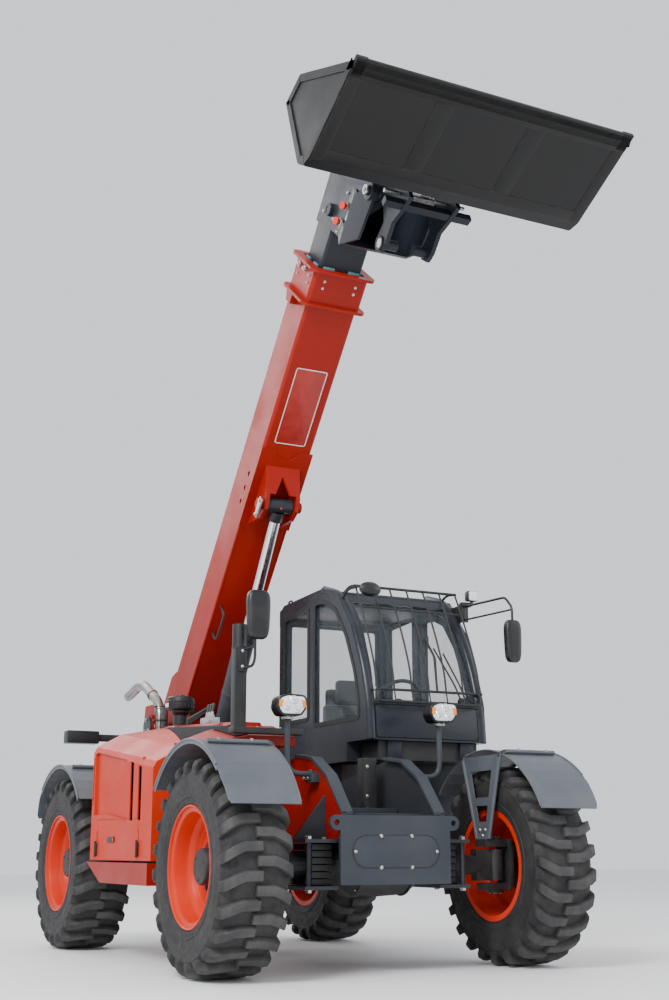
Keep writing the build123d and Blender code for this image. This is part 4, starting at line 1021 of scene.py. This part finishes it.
# ------------------------------------------------------------------ front end
def make_front():
    marks = Kit("plate_fixings", "chassis", "bolts", "grey_paint")
    face = PLATE_X - SHIFT
    marks.bolts([(face, y, z) for y in (-0.1, 0.1) for z in (0.582, 0.752)], ALONG_X, 0.0098)
    marks.bolts([(face, y, 0.667) for y in (-0.265, 0.265)], ALONG_X, 0.0098)
    for side in (-1, 1):
        for x in (1.180, 1.480):
            for z, way in ((0.736, 1), (0.460, -1)):
                marks.bolts([(x, side * 0.505, z)], (0, 0, way), 0.019)
        marks.bolts([(x, side * 0.400, 0.736) for x in (1.20, 1.46)], ALONG_Z, 0.013)
        marks.bolts([(1.175 + 0.028 * k, side * (SIDE_Y + 0.062), 1.085) for k in (0, 1, 2)], (0, side, 0),
                    0.009)
    marks.done()
    line = Kit("plate_outline", "chassis", "seal", "grey_paint")
    cover = facing((face, 0, 0.667), ALONG_X)
    arc = [math.radians(k * 12) for k in range(16)]
    stadium = [(0.180 + 0.085 * math.sin(a), -0.085 * math.cos(a)) for a in arc]
    stadium += [(-0.180 - 0.085 * math.sin(a), 0.085 * math.cos(a)) for a in arc]
    line.ring([(x * 1.08, y * 1.08) for x, y in stadium], 0.0035, 0.0012, cover)
    line.done()
    lid = Kit("plate_cover", "chassis", "grey_paint", "grey_paint")
    lid.plate([(x * 1.045, y * 1.03) for x, y in stadium], 0.004, cover, 0.002)
    lid.box((1.085, -0.235, 0.873), (1.470, 0.235, 0.882), 0.003)
    lid.box((1.050, -0.300, 0.873), (1.066, 0.300, 0.925), 0.003)
    for side in (-1, 1):
        lid.rod([(1.565, side * 0.325, 0.881), (1.366, side * 0.325, 1.092)], 0.009)
        lid.box((1.165, side * (SIDE_Y + 0.02) - 0.032, 1.060),
                (1.265, side * (SIDE_Y + 0.02) + 0.042, 1.112), 0.006)
    lid.done()
    dark = Kit("axle_mount_blocks", "chassis", "seal", "dark_cast")
    for side in (-1, 1):
        for x in (1.215, 1.405):
            for k in range(6):
                low = 0.484 + k * 0.0385
                y0, y1 = sorted((side * 0.345, side * 0.475))
                dark.box((x - 0.045, y0, low), (x + 0.055, y1, low + 0.034), 0.006)
    dark.box((0.860, 0.130, 0.820), (0.960, 0.215, 1.235), 0.006)
    dark.done()
    nuts = Kit("boom_rest_bolts", "chassis", "bolts", "dark_cast")
    nuts.bolts([(0.960, 0.148, z) for z in (0.92, 1.00, 1.18)], ALONG_X, 0.009)
    nuts.done()
    hoses = Kit("frame_hoses", "chassis", "hose", "black_plastic")
    for k, y in enumerate((-0.250, -0.220, 0.235, 0.262)):
        hoses.rod([(-1.30, y, 1.32), (-1.05, y, 1.02), (-0.6, y, 0.95 + 0.01 * k), (0.60, y, 0.92),
                   (1.00, y, 0.80), (1.06, y * 0.8, 0.66)], 0.010, 0.14)
    hoses.done()


def make_lamps():
    stalks = Kit("lamp_tubes", "chassis", "grey_paint", "black_plastic")
    clamps = Kit("lamp_clamps", "chassis", "bolts", "black_plastic")
    cases = Kit("lamp_cases", "chassis", "moulding", "black_plastic")
    lenses = Kit("lamp_lenses", "chassis", "lens", "black_plastic")
    amber = Kit("lamp_indicators", "chassis", "amber", "black_plastic")
    bowls = Kit("lamp_bowls", "chassis", "mirror", "black_plastic")
    face = [(-0.095, -0.018), (-0.084, 0.044), (-0.030, 0.064), (0.078, 0.060), (0.096, 0.040),
            (0.092, -0.022), (0.058, -0.064), (-0.066, -0.064)]
    for side in (-1, 1):
        y = side * 0.520
        stalks.rod([(1.215, side * (SIDE_Y), 1.110), (1.215, y, 1.110), (1.215, y, 1.445)], 0.0165,
                   0.085, 16)
        stalks.disc((1.215, side * (SIDE_Y + 0.036), 1.110), (0, side, 0), 0.030, 0.012, 6)
        clamps.box((1.188, y - 0.030, 1.425), (1.242, y + 0.030, 1.448), 0.004)
        clamps.bolts([(1.242, y + dy, 1.436) for dy in (-0.018, 0.018)], ALONG_X, 0.008)
        clamps.bolts([(1.215 + dx, y, 1.448) for dx in (-0.022, 0.022)], ALONG_Z, 0.008)
        outline = rounded(face, 0.018)
        place = facing((1.180, y, 1.505), ALONG_X)
        cases.plate(outline, 0.096, place, 0.010)
        cases.ring(outline, 0.0095, 0.104, place)
        front = facing((1.276, y, 1.505), ALONG_X)
        lenses.plate(rounded(drawn_in(face, 0.0115), 0.014), 0.010, front, 0.003)
        for u, v, r in ((0.010, 0.028, 0.026), (-0.035, -0.010, 0.024), (0.030, -0.028, 0.022)):
            bowl = facing((1.2865, y + u, 1.505 + v), ALONG_X)
            bowls.lathe([(r, 0.0), (r * 0.92, 0.002), (r * 0.6, -0.001), (0.007, -0.003), (0.007, 0.003),
                         (0, 0.004)],
                        24, "Z", bowl)
        for u, way in ((0.080, 1), (-0.078, -1)):
            amber.plate([(u + way * 0.010, -0.012), (u + way * 0.006, 0.026), (u - way * 0.020, 0.030),
                         (u - way * 0.012, -0.018)], 0.003, facing((1.2855, y, 1.505), ALONG_X))
    stalks.done(("lamp_stalks",), 50.0)
    clamps.done()
    cases.done(("headlamps",))
    lenses.done()
    amber.done()
    bowls.done()
    rear = Kit("tail_lamp_case", "chassis", "moulding", "black_plastic")
    rear.box((-2.080, -0.960, 1.490), (-1.962, -0.700, 1.590), 0.012)
    rear.box((-2.040, -0.702, 1.512), (-2.002, -SIDE_Y, 1.568), 0.005)
    rear.box((-2.040, -SIDE_Y - 0.060, 1.300), (-2.002, -SIDE_Y - 0.001, 1.568), 0.005)
    rear.done(("rear_lamp_box",))
    for name, finish, y0, y1 in (("tail_lens_red", "red_cap", -0.950, -0.880),
                                 ("tail_lens_amber", "amber", -0.872, -0.800),
                                 ("tail_lens_clear", "lens", -0.792, -0.712)):
        lens = Kit(name, "chassis", finish, "black_plastic")
        lens.box((-2.088, y0, 1.500), (-2.078, y1, 1.580), 0.004)
        lens.done()


# ------------------------------------------------------------------ boom
def below(s, n=-0.178):
    """Placement on the boom's underside, drawn as (across, along)."""
    return facing((s, 0, n), (0, 0, -1), (1, 0, 0))


def make_boom_parts():
    sign = Kit("sign_plate", "boom", "plate", "red_paint", IN_BOOM)
    outline = rounded(rectangle(-0.125, 0.125, -0.2975, 0.2975), 0.022)
    sign.plate(outline, 0.0015, below(2.9335), 0.0005)
    sign.done()
    border = Kit("sign_border", "boom", "pale", "red_paint", IN_BOOM)
    border.ring(drawn_in(outline, 0.004), 0.0065, 0.0024, below(2.9335))
    border.done()
    bolts = Kit("collar_bolts", "boom", "bolts", "red_paint", IN_BOOM)
    under = -BOOM_HALF_D - 0.014
    for y in (-0.118, 0.118):
        for s in (COLLAR_S + 0.130, COLLAR_S + 0.180):
            bolts.bolts([(s, y, under)], (0, 0, -1), 0.0085)
            bolts.bolts([(s, y, -under)], (0, 0, 1), 0.0085)
    side = BOOM_HALF_W + 0.014
    for way in (-1, 1):
        for n in (-0.105, 0.105):
            for s in (COLLAR_S + 0.130, COLLAR_S + 0.180):
                bolts.bolts([(s, way * side, n)], (0, way, 0), 0.0085)
        for n in (-0.030, 0.075):
            bolts.disc((COLLAR_S + 0.205, way * side, n), (0, way, 0), 0.020, 0.022, 20)
            bolts.disc((COLLAR_S + 0.205, way * (side + 0.020), n), (0, way, 0), 0.012, 0.012, 6)
    near = -0.170
    bolts.box((2.130, near - 0.012, -0.395), (2.285, near, -0.345), 0.003)
    bolts.bolts([(s, near - 0.012, -0.370) for s in (2.150, 2.265)], (0, -1, 0), 0.013)
    bolts.done()
    pads = Kit("wear_pads", "boom", "pad", "grey_paint", IN_BOOM)
    end = COLLAR_S + COLLAR_LEN
    for y in (-0.135, 0.055):
        for n0, n1 in ((-0.162, -0.140), (0.140, 0.162)):
            pads.box((end - 0.050, y, n0), (end + 0.012, y + 0.080, n1), 0.004)
    for n in (-0.110, 0.040):
        for y0, y1 in ((-0.176, -0.157), (0.157, 0.176)):
            pads.box((end - 0.050, y0, n), (end + 0.008, y1, n + 0.070), 0.003)
    pads.done()
    seams = Kit("boom_seams", "boom", "red_paint", "red_paint", IN_BOOM)
    for y in (-BOOM_HALF_W + 0.004, BOOM_HALF_W - 0.004):
        seams.rod([(0.45, y, -BOOM_HALF_D + 0.004), (1.95, y, -BOOM_HALF_D + 0.004)], 0.007, 0.0, 8)
    for k in range(5):
        s = 1.62 + k * 0.36
        seams.box((s, -0.075, BOOM_HALF_D + 0.002), (s + 0.030, 0.075, BOOM_HALF_D + 0.012), 0.003)
    seams.done()
    lines = Kit("boom_pipes", "boom", "hose", "red_paint", IN_BOOM)
    for k in range(3):
        y = 0.095 + k * 0.026
        lines.rod([(0.10, y, 0.215), (0.50, y, 0.205), (0.60, y, BOOM_HALF_D + 0.014),
                   (3.62, y, BOOM_HALF_D + 0.014)],
                  0.009, 0.08, 10)
    for y in (-0.150, 0.150):
        lines.rod([(1.02, y, -0.178), (1.02, y, -0.290), (1.26, y, -0.290), (1.26, y, -0.178)], 0.009, 0.05)
    lines.done()
    clips = Kit("pipe_clips", "boom", "bolts", "red_paint", IN_BOOM)
    for k in range(7):
        s = 0.85 + k * 0.42
        clips.box((s, 0.080, BOOM_HALF_D), (s + 0.035, 0.162, BOOM_HALF_D + 0.027), 0.004)
        clips.bolts([(s + 0.0175, 0.121, BOOM_HALF_D + 0.027)], ALONG_Z, 0.007)
    clips.done()
    pivot = Kit("pivot_caps", "chassis", "grey_paint", "red_paint")
    heads = Kit("pivot_bolts", "chassis", "bolts", "red_paint")
    x, z = PIVOT.x - SHIFT, PIVOT.z
    for way in (-1, 1):
        pivot.disc((x, way * 0.362, z), (0, way, 0), 0.085, 0.014, 40)
        for k in range(3):
            a = math.radians(90 + 120 * k)
            spot = (x + 0.058 * math.cos(a), way * 0.376, z + 0.058 * math.sin(a))
            heads.bolts([spot], (0, way, 0), 0.013)
    pivot.done()
    heads.done()


def make_lift_ram():
    start = Vector((-1.460, 0.0, 1.010))
    end = IN_MACHINE.inverted() @ IN_BOOM @ Vector((2.208, 0.0, -0.310))
    length = (end - start).length
    along = Matrix.Translation(start) @ (end - start).to_track_quat("X", "Z").to_matrix().to_4x4()
    place = IN_MACHINE @ along
    rod = Kit("ram_rod", "lift_rod", "chrome", "chrome", place)
    rod.lathe([(0, 1.20), (0.0415, 1.20), (0.0415, length - 0.050)], 48, "X")
    rod.done()
    eye = Kit("ram_rod_eye", "lift_rod", "cab_paint", "grey_paint", place)
    eye.lathe([(0.0330, -0.0985), (0.0500, -0.0985), (0.0530, -0.0955), (0.0530, 0.0955), (0.0500, 0.0985),
               (0.0330, 0.0985)],
              40, "Y", Matrix.Translation((length, 0, 0)))
    eye.lathe([(0.046, length - 0.120), (0.050, length - 0.115), (0.056, length - 0.045)], 32, "X")
    eye.done(("lift_rod",))
    nipple = Kit("grease_nipple", "lift_rod", "red_cap", "grey_paint", place)
    nipple.disc((length, 0, -0.052), (0, 0, -1), 0.007, 0.010, 12)
    nipple.done()
    barrel = Kit("ram_barrel", "lift_barrel", "ram_paint", "grey_paint", place)
    barrel.lathe([(0, 0.070), (0.070, 0.070), (0.075, 0.078), (0.075, 1.420), (0.0735, 1.424),
                  (0.0735, 1.430),
                  (0.079, 1.434), (0.079, 1.492), (0.074, 1.499), (0.050, 1.502), (0.050, 1.512),
                  (0.0425, 1.513)], 48, "X")
    barrel.lathe([(0.036, -0.0845), (0.076, -0.0845), (0.080, -0.081), (0.080, 0.081), (0.076, 0.0845),
                  (0.036, 0.0845)],
                 40, "Y")
    barrel.box((0.150, -0.025, 0.070), (0.215, 0.025, 0.104), 0.006)
    barrel.box((1.340, -0.022, 0.070), (1.395, 0.022, 0.102), 0.006)
    barrel.rod([(0.215, 0.0, 0.088), (0.300, 0.0, 0.092), (1.345, 0.0, 0.092)], 0.0095, 0.03)
    for x in (0.50, 0.95):
        barrel.lathe([(0.0752, x), (0.0795, x + 0.002), (0.0795, x + 0.026), (0.0752, x + 0.028)], 40, "X")
    barrel.done(("lift_barrel",))
    ports = Kit("ram_ports", "lift_barrel", "bolts", "grey_paint", place)
    for k in range(8):
        a = 2 * math.pi * k / 8
        ports.disc((1.502, 0.063 * math.cos(a), 0.063 * math.sin(a)), ALONG_X, 0.007, 0.006, 6)
    ports.done()


# ------------------------------------------------------------------ boom head and carriage
def make_head_parts():
    near = -1
    steel = Kit("couplers", "telescope", "bolts", "grey_paint", IN_BOOM)
    caps = Kit("coupler_caps", "telescope", "red_cap", "grey_paint", IN_BOOM)
    swell = facing((0, 0, 0), (0, -1, -0.36)).to_3x3() @ Vector((0, 0, 1))
    for k in range(2):
        spot = Vector((4.330 + 0.115 * k, -0.192, -0.352 - 0.030 * k))
        steel.disc(spot, swell, 0.023, 0.034, 6)
        steel.disc(spot + swell * 0.034, swell, 0.019, 0.016, 24)
        caps.disc(spot + swell * 0.050, swell, 0.0255, 0.020, 24)
        steel.rod([spot + Vector((0.0, -0.012, -0.020)), spot + Vector((-0.010, -0.020, -0.060)),
                   (4.285 + 0.085 * k, -0.236, -0.485)], 0.0070, 0.03)
    steel.rod([(4.290, -0.172, -0.290), (4.262, -0.214, -0.330), (4.262, -0.232, -0.400),
               (4.300, -0.244, -0.440), (4.350, -0.232, -0.420)], 0.0045, 0.04, 8)
    steel.bolts([(4.30, -0.166, -0.240), (4.50, -0.166, -0.240)], (0, near, 0), 0.010)
    for way in (-1, 1):
        steel.bolts([(4.290, way * 0.163, n) for n in (-0.13, 0.06)], (0, way, 0), 0.011)
    steel.done()
    caps.done()
    bosses = Kit("head_bosses", "telescope", "head_paint", "grey_paint", IN_BOOM)
    for way in (-1, 1):
        tilt = facing((TILT_S, way * 0.244, TILT_N), (0, way, 0))
        bosses.lathe([(0.0335, 0.000), (0.0335, 0.003), (0.057, 0.003), (0.060, 0.000)], 40, "Z", tilt)
        rear = facing((4.330, way * (0.155 + 0.034), -0.058), (0, way, 0))
        bosses.lathe([(0, 0.002), (0.026, 0.002), (0.030, 0.005), (0.040, 0.005), (0.043, 0.0)], 36, "Z",
                     rear)
    bosses.rod([(4.203, -0.158, 0.141), (4.203, 0.158, 0.141)], 0.008, 0.0, 8)
    bosses.done()
    pins = Kit("tilt_pin_heads", "bucket_carrier", "bolts", "grey_paint", IN_TILT)
    for way in (-1, 1):
        pins.disc((0, way * 0.2615, 0), (0, way, 0), 0.0325, 0.012, 32)
        pins.bolts([(0, way * 0.2735, 0)], (0, way, 0), 0.010)
    pins.done()
    ram = Kit("tilt_ram", "telescope", "ram_paint", "grey_paint", IN_BOOM)
    ram.rod([(4.30, 0.0, -0.060), (4.510, 0.0, -0.345)], 0.052, 0.0, 28)
    ram.rod([(4.330, -0.070, -0.058), (4.330, 0.070, -0.058)], 0.050, 0.0, 28)
    ram.done()


FLOOR_A = math.radians(-21.0)
LIP = (0.800, -0.810)
FLOOR_LEN, BUCKET_HALF = 0.640, 0.920
BACK_LOW, BACK_TOP = (-0.770, 0.120), (-0.690, 0.620)


def bucket_point(along, up):
    """Point of the bucket's outline: along the floor from the lip, and square to it."""
    return (LIP[0] + along * math.cos(FLOOR_A) - up * math.sin(FLOOR_A),
            LIP[1] + along * math.sin(FLOOR_A) + up * math.cos(FLOOR_A))


def behind_bucket(up, off):
    """Point of the carriage: up the bucket's back plate, and off it towards the boom."""
    low, high = Vector(bucket_point(*BACK_LOW)), Vector(bucket_point(*BACK_TOP))
    along = (high - low).normalized()
    away = Vector((-along.y, along.x))
    point = low + along * up + away * off
    return point.x, point.y


def make_carriage_parts():
    bar = Kit("lock_rod", "bucket_carrier", "bolts", "grey_paint", IN_TILT)
    x, z = behind_bucket(0.090, 0.110)
    bar.rod([(x, -0.282, z), (x, 0.282, z)], 0.013, 0.0, 16)
    turns, sides = 13, 18
    coil = [(x + 0.021 * math.cos(2 * math.pi * i / sides), -0.120 + 0.170 * i / (turns * sides),
             z + 0.021 * math.sin(2 * math.pi * i / sides)) for i in range(turns * sides)]
    bar.rod(coil, 0.0030, 0.0, 6)
    for y in (-0.128, 0.058):
        bar.disc((x, y, z), ALONG_Y, 0.026, 0.008, 24)
    bar.rod([(x, 0.262, z), (x + 0.01, 0.275, z + 0.07), (x + 0.045, 0.278, z + 0.085)], 0.007, 0.02)
    sx, sz = behind_bucket(-0.034, 0.421)
    for way in (-1, 1):
        bar.disc((sx, way * 0.178, sz), (0, way, 0), 0.032, 0.006, 32)
    bar.done()
    trim = Kit("carriage_eyes", "bucket_carrier", "head_paint", "grey_paint", IN_TILT)
    for way in (-1, 1):
        ring = facing((sx, way * 0.178, sz), (0, way, 0))
        trim.lathe([(0.034, 0.0), (0.034, 0.008), (0.046, 0.008), (0.049, 0.0)], 36, "Z", ring)
        top = facing((0, way * 0.178, 0), (0, way, 0))
        trim.lathe([(0.033, 0.0), (0.033, 0.012), (0.052, 0.012), (0.056, 0.0)], 36, "Z", top)
    trim.done()


def strip(kit, reach, start, end, y0, y1, thick, round_by=0.003):
    """Raised strip laid on the bucket's outer skin between two outline points."""
    a, b = Vector(bucket_point(*start)), Vector(bucket_point(*end))
    along = (b - a).normalized()
    away = Vector((along.y, -along.x))
    basis = Matrix(((along.x, 0, -away.x), (0, 1, 0), (along.y, 0, -away.y))).to_4x4()
    place = Matrix.Translation((a.x, 0, a.y)) @ basis
    kit.box((reach[0], y0, -thick), (reach[1], y1, 0.003), round_by, place)


def make_bucket_parts():
    half, length = BUCKET_HALF, FLOOR_LEN
    plates = Kit("bucket_wear_strips", "bucket_carrier", "bucket_steel", "bucket_steel", IN_TILT)
    lip, heel = (0.0, 0.0), (-length, 0.0)
    strip(plates, (0.000, 0.110), lip, heel, -half, half, 0.010)
    strip(plates, (length - 0.075, length), lip, heel, -half + 0.07, half - 0.07, 0.008)
    for y in (-half, half - 0.075):
        strip(plates, (0.110, length), lip, heel, y, y + 0.075, 0.008)
    for y in (-0.365, 0.245):
        strip(plates, (0.110, length - 0.075), lip, heel, y, y + 0.120, 0.008)
    for y in (-0.640, 0.600):
        strip(plates, (0.03, 0.47), BACK_LOW, BACK_TOP, y, y + 0.040, 0.008)
    for y in (-half, half - 0.012):
        corners = (lip, heel, (-0.720, 0.030), BACK_LOW, BACK_TOP, (-0.470, 0.600))
        side = [bucket_point(*corner) for corner in corners]
        outline = drawn_in(side, 0.006)
        way = 1 if y > 0 else -1
        place = at_side(way * (half - 0.002), way)
        plates.ring(rounded(outline, 0.01), 0.045, 0.010, place)
    plates.done()
    edge = Kit("cutting_edge", "bucket_carrier", "bucket_steel", "bucket_steel", IN_TILT)
    strip(edge, (-0.012, 0.085), lip, heel, -half, half, 0.020, 0.004)
    for y in (-half - 0.004, half - 0.070):
        strip(edge, (-0.016, 0.100), lip, heel, y, y + 0.074, 0.026, 0.005)
    edge.done()


# ------------------------------------------------------------------ under and round the frame
def make_fender_parts():
    for end, x in (("front", FRONT_X - SHIFT), ("rear", REAR_X - SHIFT)):
        for side, name in ((-1, "right"), (1, "left")):
            body = f"{end}_{name}_steer"
            lift = Matrix.Translation((x, side * WHEEL_Y, WHEEL_Z)) @ Matrix.Scale(-side, 4, (0, 1, 0))
            if end == "rear":
                lift = lift @ Matrix.Scale(-1, 4, (1, 0, 0))
            place = IN_MACHINE @ lift
            tubes = Kit(f"{end}_{name}_fender_tubes", body, "moulding", "black_plastic", place)
            rail = 0.703
            for a in (-0.215, 0.215):
                top = math.sqrt(rail * rail - a * a)
                tubes.rod([(a * 0.3, 0.228, 0.160), (a, 0.228, top), (a, -0.165, top)], 0.0125, 0.045, 14)
            tubes.done()
            studs = Kit(f"{end}_{name}_fender_bolts", body, "bolts", "black_plastic", place)
            for a in (-0.215, 0.215):
                top = math.sqrt(rail * rail - a * a)
                for y in (-0.110, 0.090):
                    tilt = math.atan2(a, top)
                    spot = Vector((a, y, top)) + Vector((math.sin(tilt), 0, math.cos(tilt))) * 0.010
                    studs.bolts([spot], (math.sin(tilt), 0, math.cos(tilt)), 0.010)
            studs.bolts([(a, 0.232, z) for a, z in ((-0.030, 0.205), (0.030, 0.205), (0, 0.170))], ALONG_Y,
                        0.010)
            studs.done()
            lip = Kit(f"{end}_{name}_fender_lip", body, "fender_plastic", "fender_plastic", place)
            arc = [(0.6885 * math.cos(a), -0.207, 0.6885 * math.sin(a))
                   for a in (math.radians(50 + 91 * k / 40) for k in range(41))]
            lip.rod(arc, 0.0075, 0.0, 8)
            inner = [(0.6875 * math.cos(a), 0.214, 0.6875 * math.sin(a))
                     for a in (math.radians(29 + 111 * k / 40) for k in range(41))]
            lip.rod(inner, 0.006, 0.0, 8)
            lip.done()
            swivel = Kit(f"{end}_{name}_kingpin_bolts", body, "bolts", "dark_cast", place)
            for z, way in ((0.164, 1), (-0.164, -1)):
                for k in range(4):
                    a = math.radians(45 + 90 * k)
                    swivel.bolts([(0.033 * math.cos(a), 0.150 + 0.033 * math.sin(a), z)], (0, 0, way), 0.0075)
            swivel.done()


def make_axle_parts():
    for end, x, way in (("front", FRONT_X - SHIFT, -1), ("rear", REAR_X - SHIFT, 1)):
        body = "chassis"
        bolts = Kit(f"{end}_axle_bolts", body, "bolts", "dark_cast")
        for k in range(12):
            a = 2 * math.pi * k / 12
            for y in (-0.171, 0.171):
                spot = (x + 0.152 * math.cos(a), y, WHEEL_Z + 0.152 * math.sin(a))
                bolts.bolts([spot], (0, math.copysign(1, y), 0), 0.009)
        bolts.done()
        ribs = Kit(f"{end}_axle_ribs", body, "dark_cast", "dark_cast")
        for y in (-0.170, 0.160):
            ribs.lathe([(0.120, y), (0.172, y), (0.174, y + 0.003), (0.174, y + 0.007), (0.172, y + 0.010),
                        (0.120, y + 0.010)],
                       40, "Y", Matrix.Translation((x, 0, WHEEL_Z)))
        ribs.done()
        ram_x = x + way * 0.215
        rods = Kit(f"{end}_steer_rods", body, "chrome", "dark_cast")
        for side in (-1, 1):
            rods.rod([(ram_x, side * 0.30, WHEEL_Z - 0.025), (ram_x, side * 0.415, WHEEL_Z - 0.025)], 0.0185,
                     0.0, 20)
        rods.done()
        caps = Kit(f"{end}_steer_caps", body, "ram_paint", "dark_cast")
        for side in (-1, 1):
            caps.disc((ram_x, side * 0.262, WHEEL_Z - 0.025), (0, side, 0), 0.040, 0.040, 28)
        caps.done()


def make_side_parts():
    tank = Kit("tank_cap", "chassis", "moulding", "black_plastic")
    tank.disc((0.300, SIDE_Y + 0.55, 0.735), ALONG_Z, 0.048, 0.030, 28)
    tank.disc((0.300, SIDE_Y + 0.55, 0.765), ALONG_Z, 0.040, 0.012, 12)
    for z in (0.505, 0.725):
        for k in range(7):
            y = 1.085 + 0.0115 * k
            tank.box((-0.370, y, z - 0.001), (0.050, y + 0.005, z + 0.003), 0.0)
    tank.done()
    weight = Kit("hitch", "chassis", "dark_cast", "dark_cast")
    for z in (0.800, 0.900):
        weight.box((-2.225, -0.060, z), (-2.145, 0.060, z + 0.022), 0.006)
    weight.rod([(-2.190, 0, 0.780), (-2.190, 0, 0.945)], 0.016, 0.0, 20)
    weight.rod([(-2.190, 0, 0.945), (-2.190, 0.0, 0.958)], 0.028, 0.0, 20)
    weight.done()
    back = Kit("rear_bolts", "chassis", "bolts", "dark_cast")
    back.bolts([(-2.150, y, z) for y in (-0.330, 0.330) for z in (0.82, 1.12)], (-1, 0, 0), 0.018)
    back.bolts([(-2.0115, y, 1.18) for y in (-0.28, 0.28)], (-1, 0, 0), 0.012)
    back.done()
    eyes = Kit("tie_eyes", "chassis", "bolts", "red_paint")
    for y in (-0.37, 0.37):
        place = facing((-2.152, y, 0.960), (-1, 0, 0))
        ring = [place @ Vector((0.030 * math.cos(a), 0.030 * math.sin(a), 0.004))
                for a in (2 * math.pi * k / 20 for k in range(20))]
        eyes.rod(ring, 0.007, 0.0, 8, True)
    eyes.done()


# ------------------------------------------------------------------ stage
def make_stage():
    bpy.ops.mesh.primitive_plane_add(size=60, location=(0, 0, -0.001))
    floor = bpy.context.object
    floor.name = "floor"
    f = Finish("pale_floor", (0.86, 0.86, 0.85), 0.6)
    floor.data.materials.append(f.material)
    world = bpy.data.worlds.new("studio")
    bpy.context.scene.world = world
    world.use_nodes = True
    back = world.node_tree.nodes["Background"]
    back.inputs["Color"].default_value = (0.93, 0.95, 1.0, 1.0)
    back.inputs["Strength"].default_value = 1.15
    lights = [
        ("key", (6.5, -8.0, 9.0), 4.0, 1700.0),
        ("fill", (4.0, 9.0, 5.0), 7.0, 250.0),
        ("back", (-9.0, -2.0, 8.0), 6.0, 400.0),
    ]
    for name, at, size, power in lights:
        data = bpy.data.lights.new(name, "AREA")
        data.size, data.energy = size, power
        lamp = bpy.data.objects.new(name, data)
        bpy.context.scene.collection.objects.link(lamp)
        lamp.location = at
        lamp.rotation_euler = (Vector((0, 0, 1.6)) - Vector(at)).to_track_quat("-Z", "Y").to_euler()
    data = bpy.data.cameras.new("camera")
    data.lens, data.sensor_width = 48.17, 36.0
    camera = bpy.data.objects.new("camera", data)
    bpy.context.scene.collection.objects.link(camera)
    yaw, pitch, roll = math.radians(153.37), math.radians(14.63), math.radians(-0.05)
    look = Vector((math.cos(yaw) * math.cos(pitch), math.sin(yaw) * math.cos(pitch), math.sin(pitch)))
    camera.rotation_mode = "QUATERNION"
    aim = look.to_track_quat("-Z", "Y").to_matrix().to_4x4() @ Matrix.Rotation(roll, 4, "Z")
    camera.rotation_quaternion = aim.to_quaternion()
    camera.location = (8.48 + SHIFT, -3.85, 0.68)
    bpy.context.scene.camera = camera


def dress_cad_nodes():
    """Gives every carried-over solid the finish of its own material slot."""
    special = {"engine_hood": "hood_paint", "chassis_frame": "frame_paint", "inner_boom": "head_paint",
               "carriage": "head_paint", "cab_shell": "cab_paint", "cab_door": "cab_paint"}
    for part in frame["record"]["subparts"]:
        solid = nodes[part["node"]]
        finish = FINISH[special.get(part["node"], part["material_slot"])]
        for holder in solid.material_slots:
            holder.link = "OBJECT"
            holder.material = finish


make_stage()
dress_cad_nodes()
for make in (make_wheels, make_cab_shell, make_screen_guard, make_mirrors, make_interior, make_hood,
             make_front,
             make_lamps, make_boom_parts, make_lift_ram, make_head_parts, make_carriage_parts,
             make_bucket_parts,
             make_fender_parts, make_axle_parts, make_side_parts):
    make()
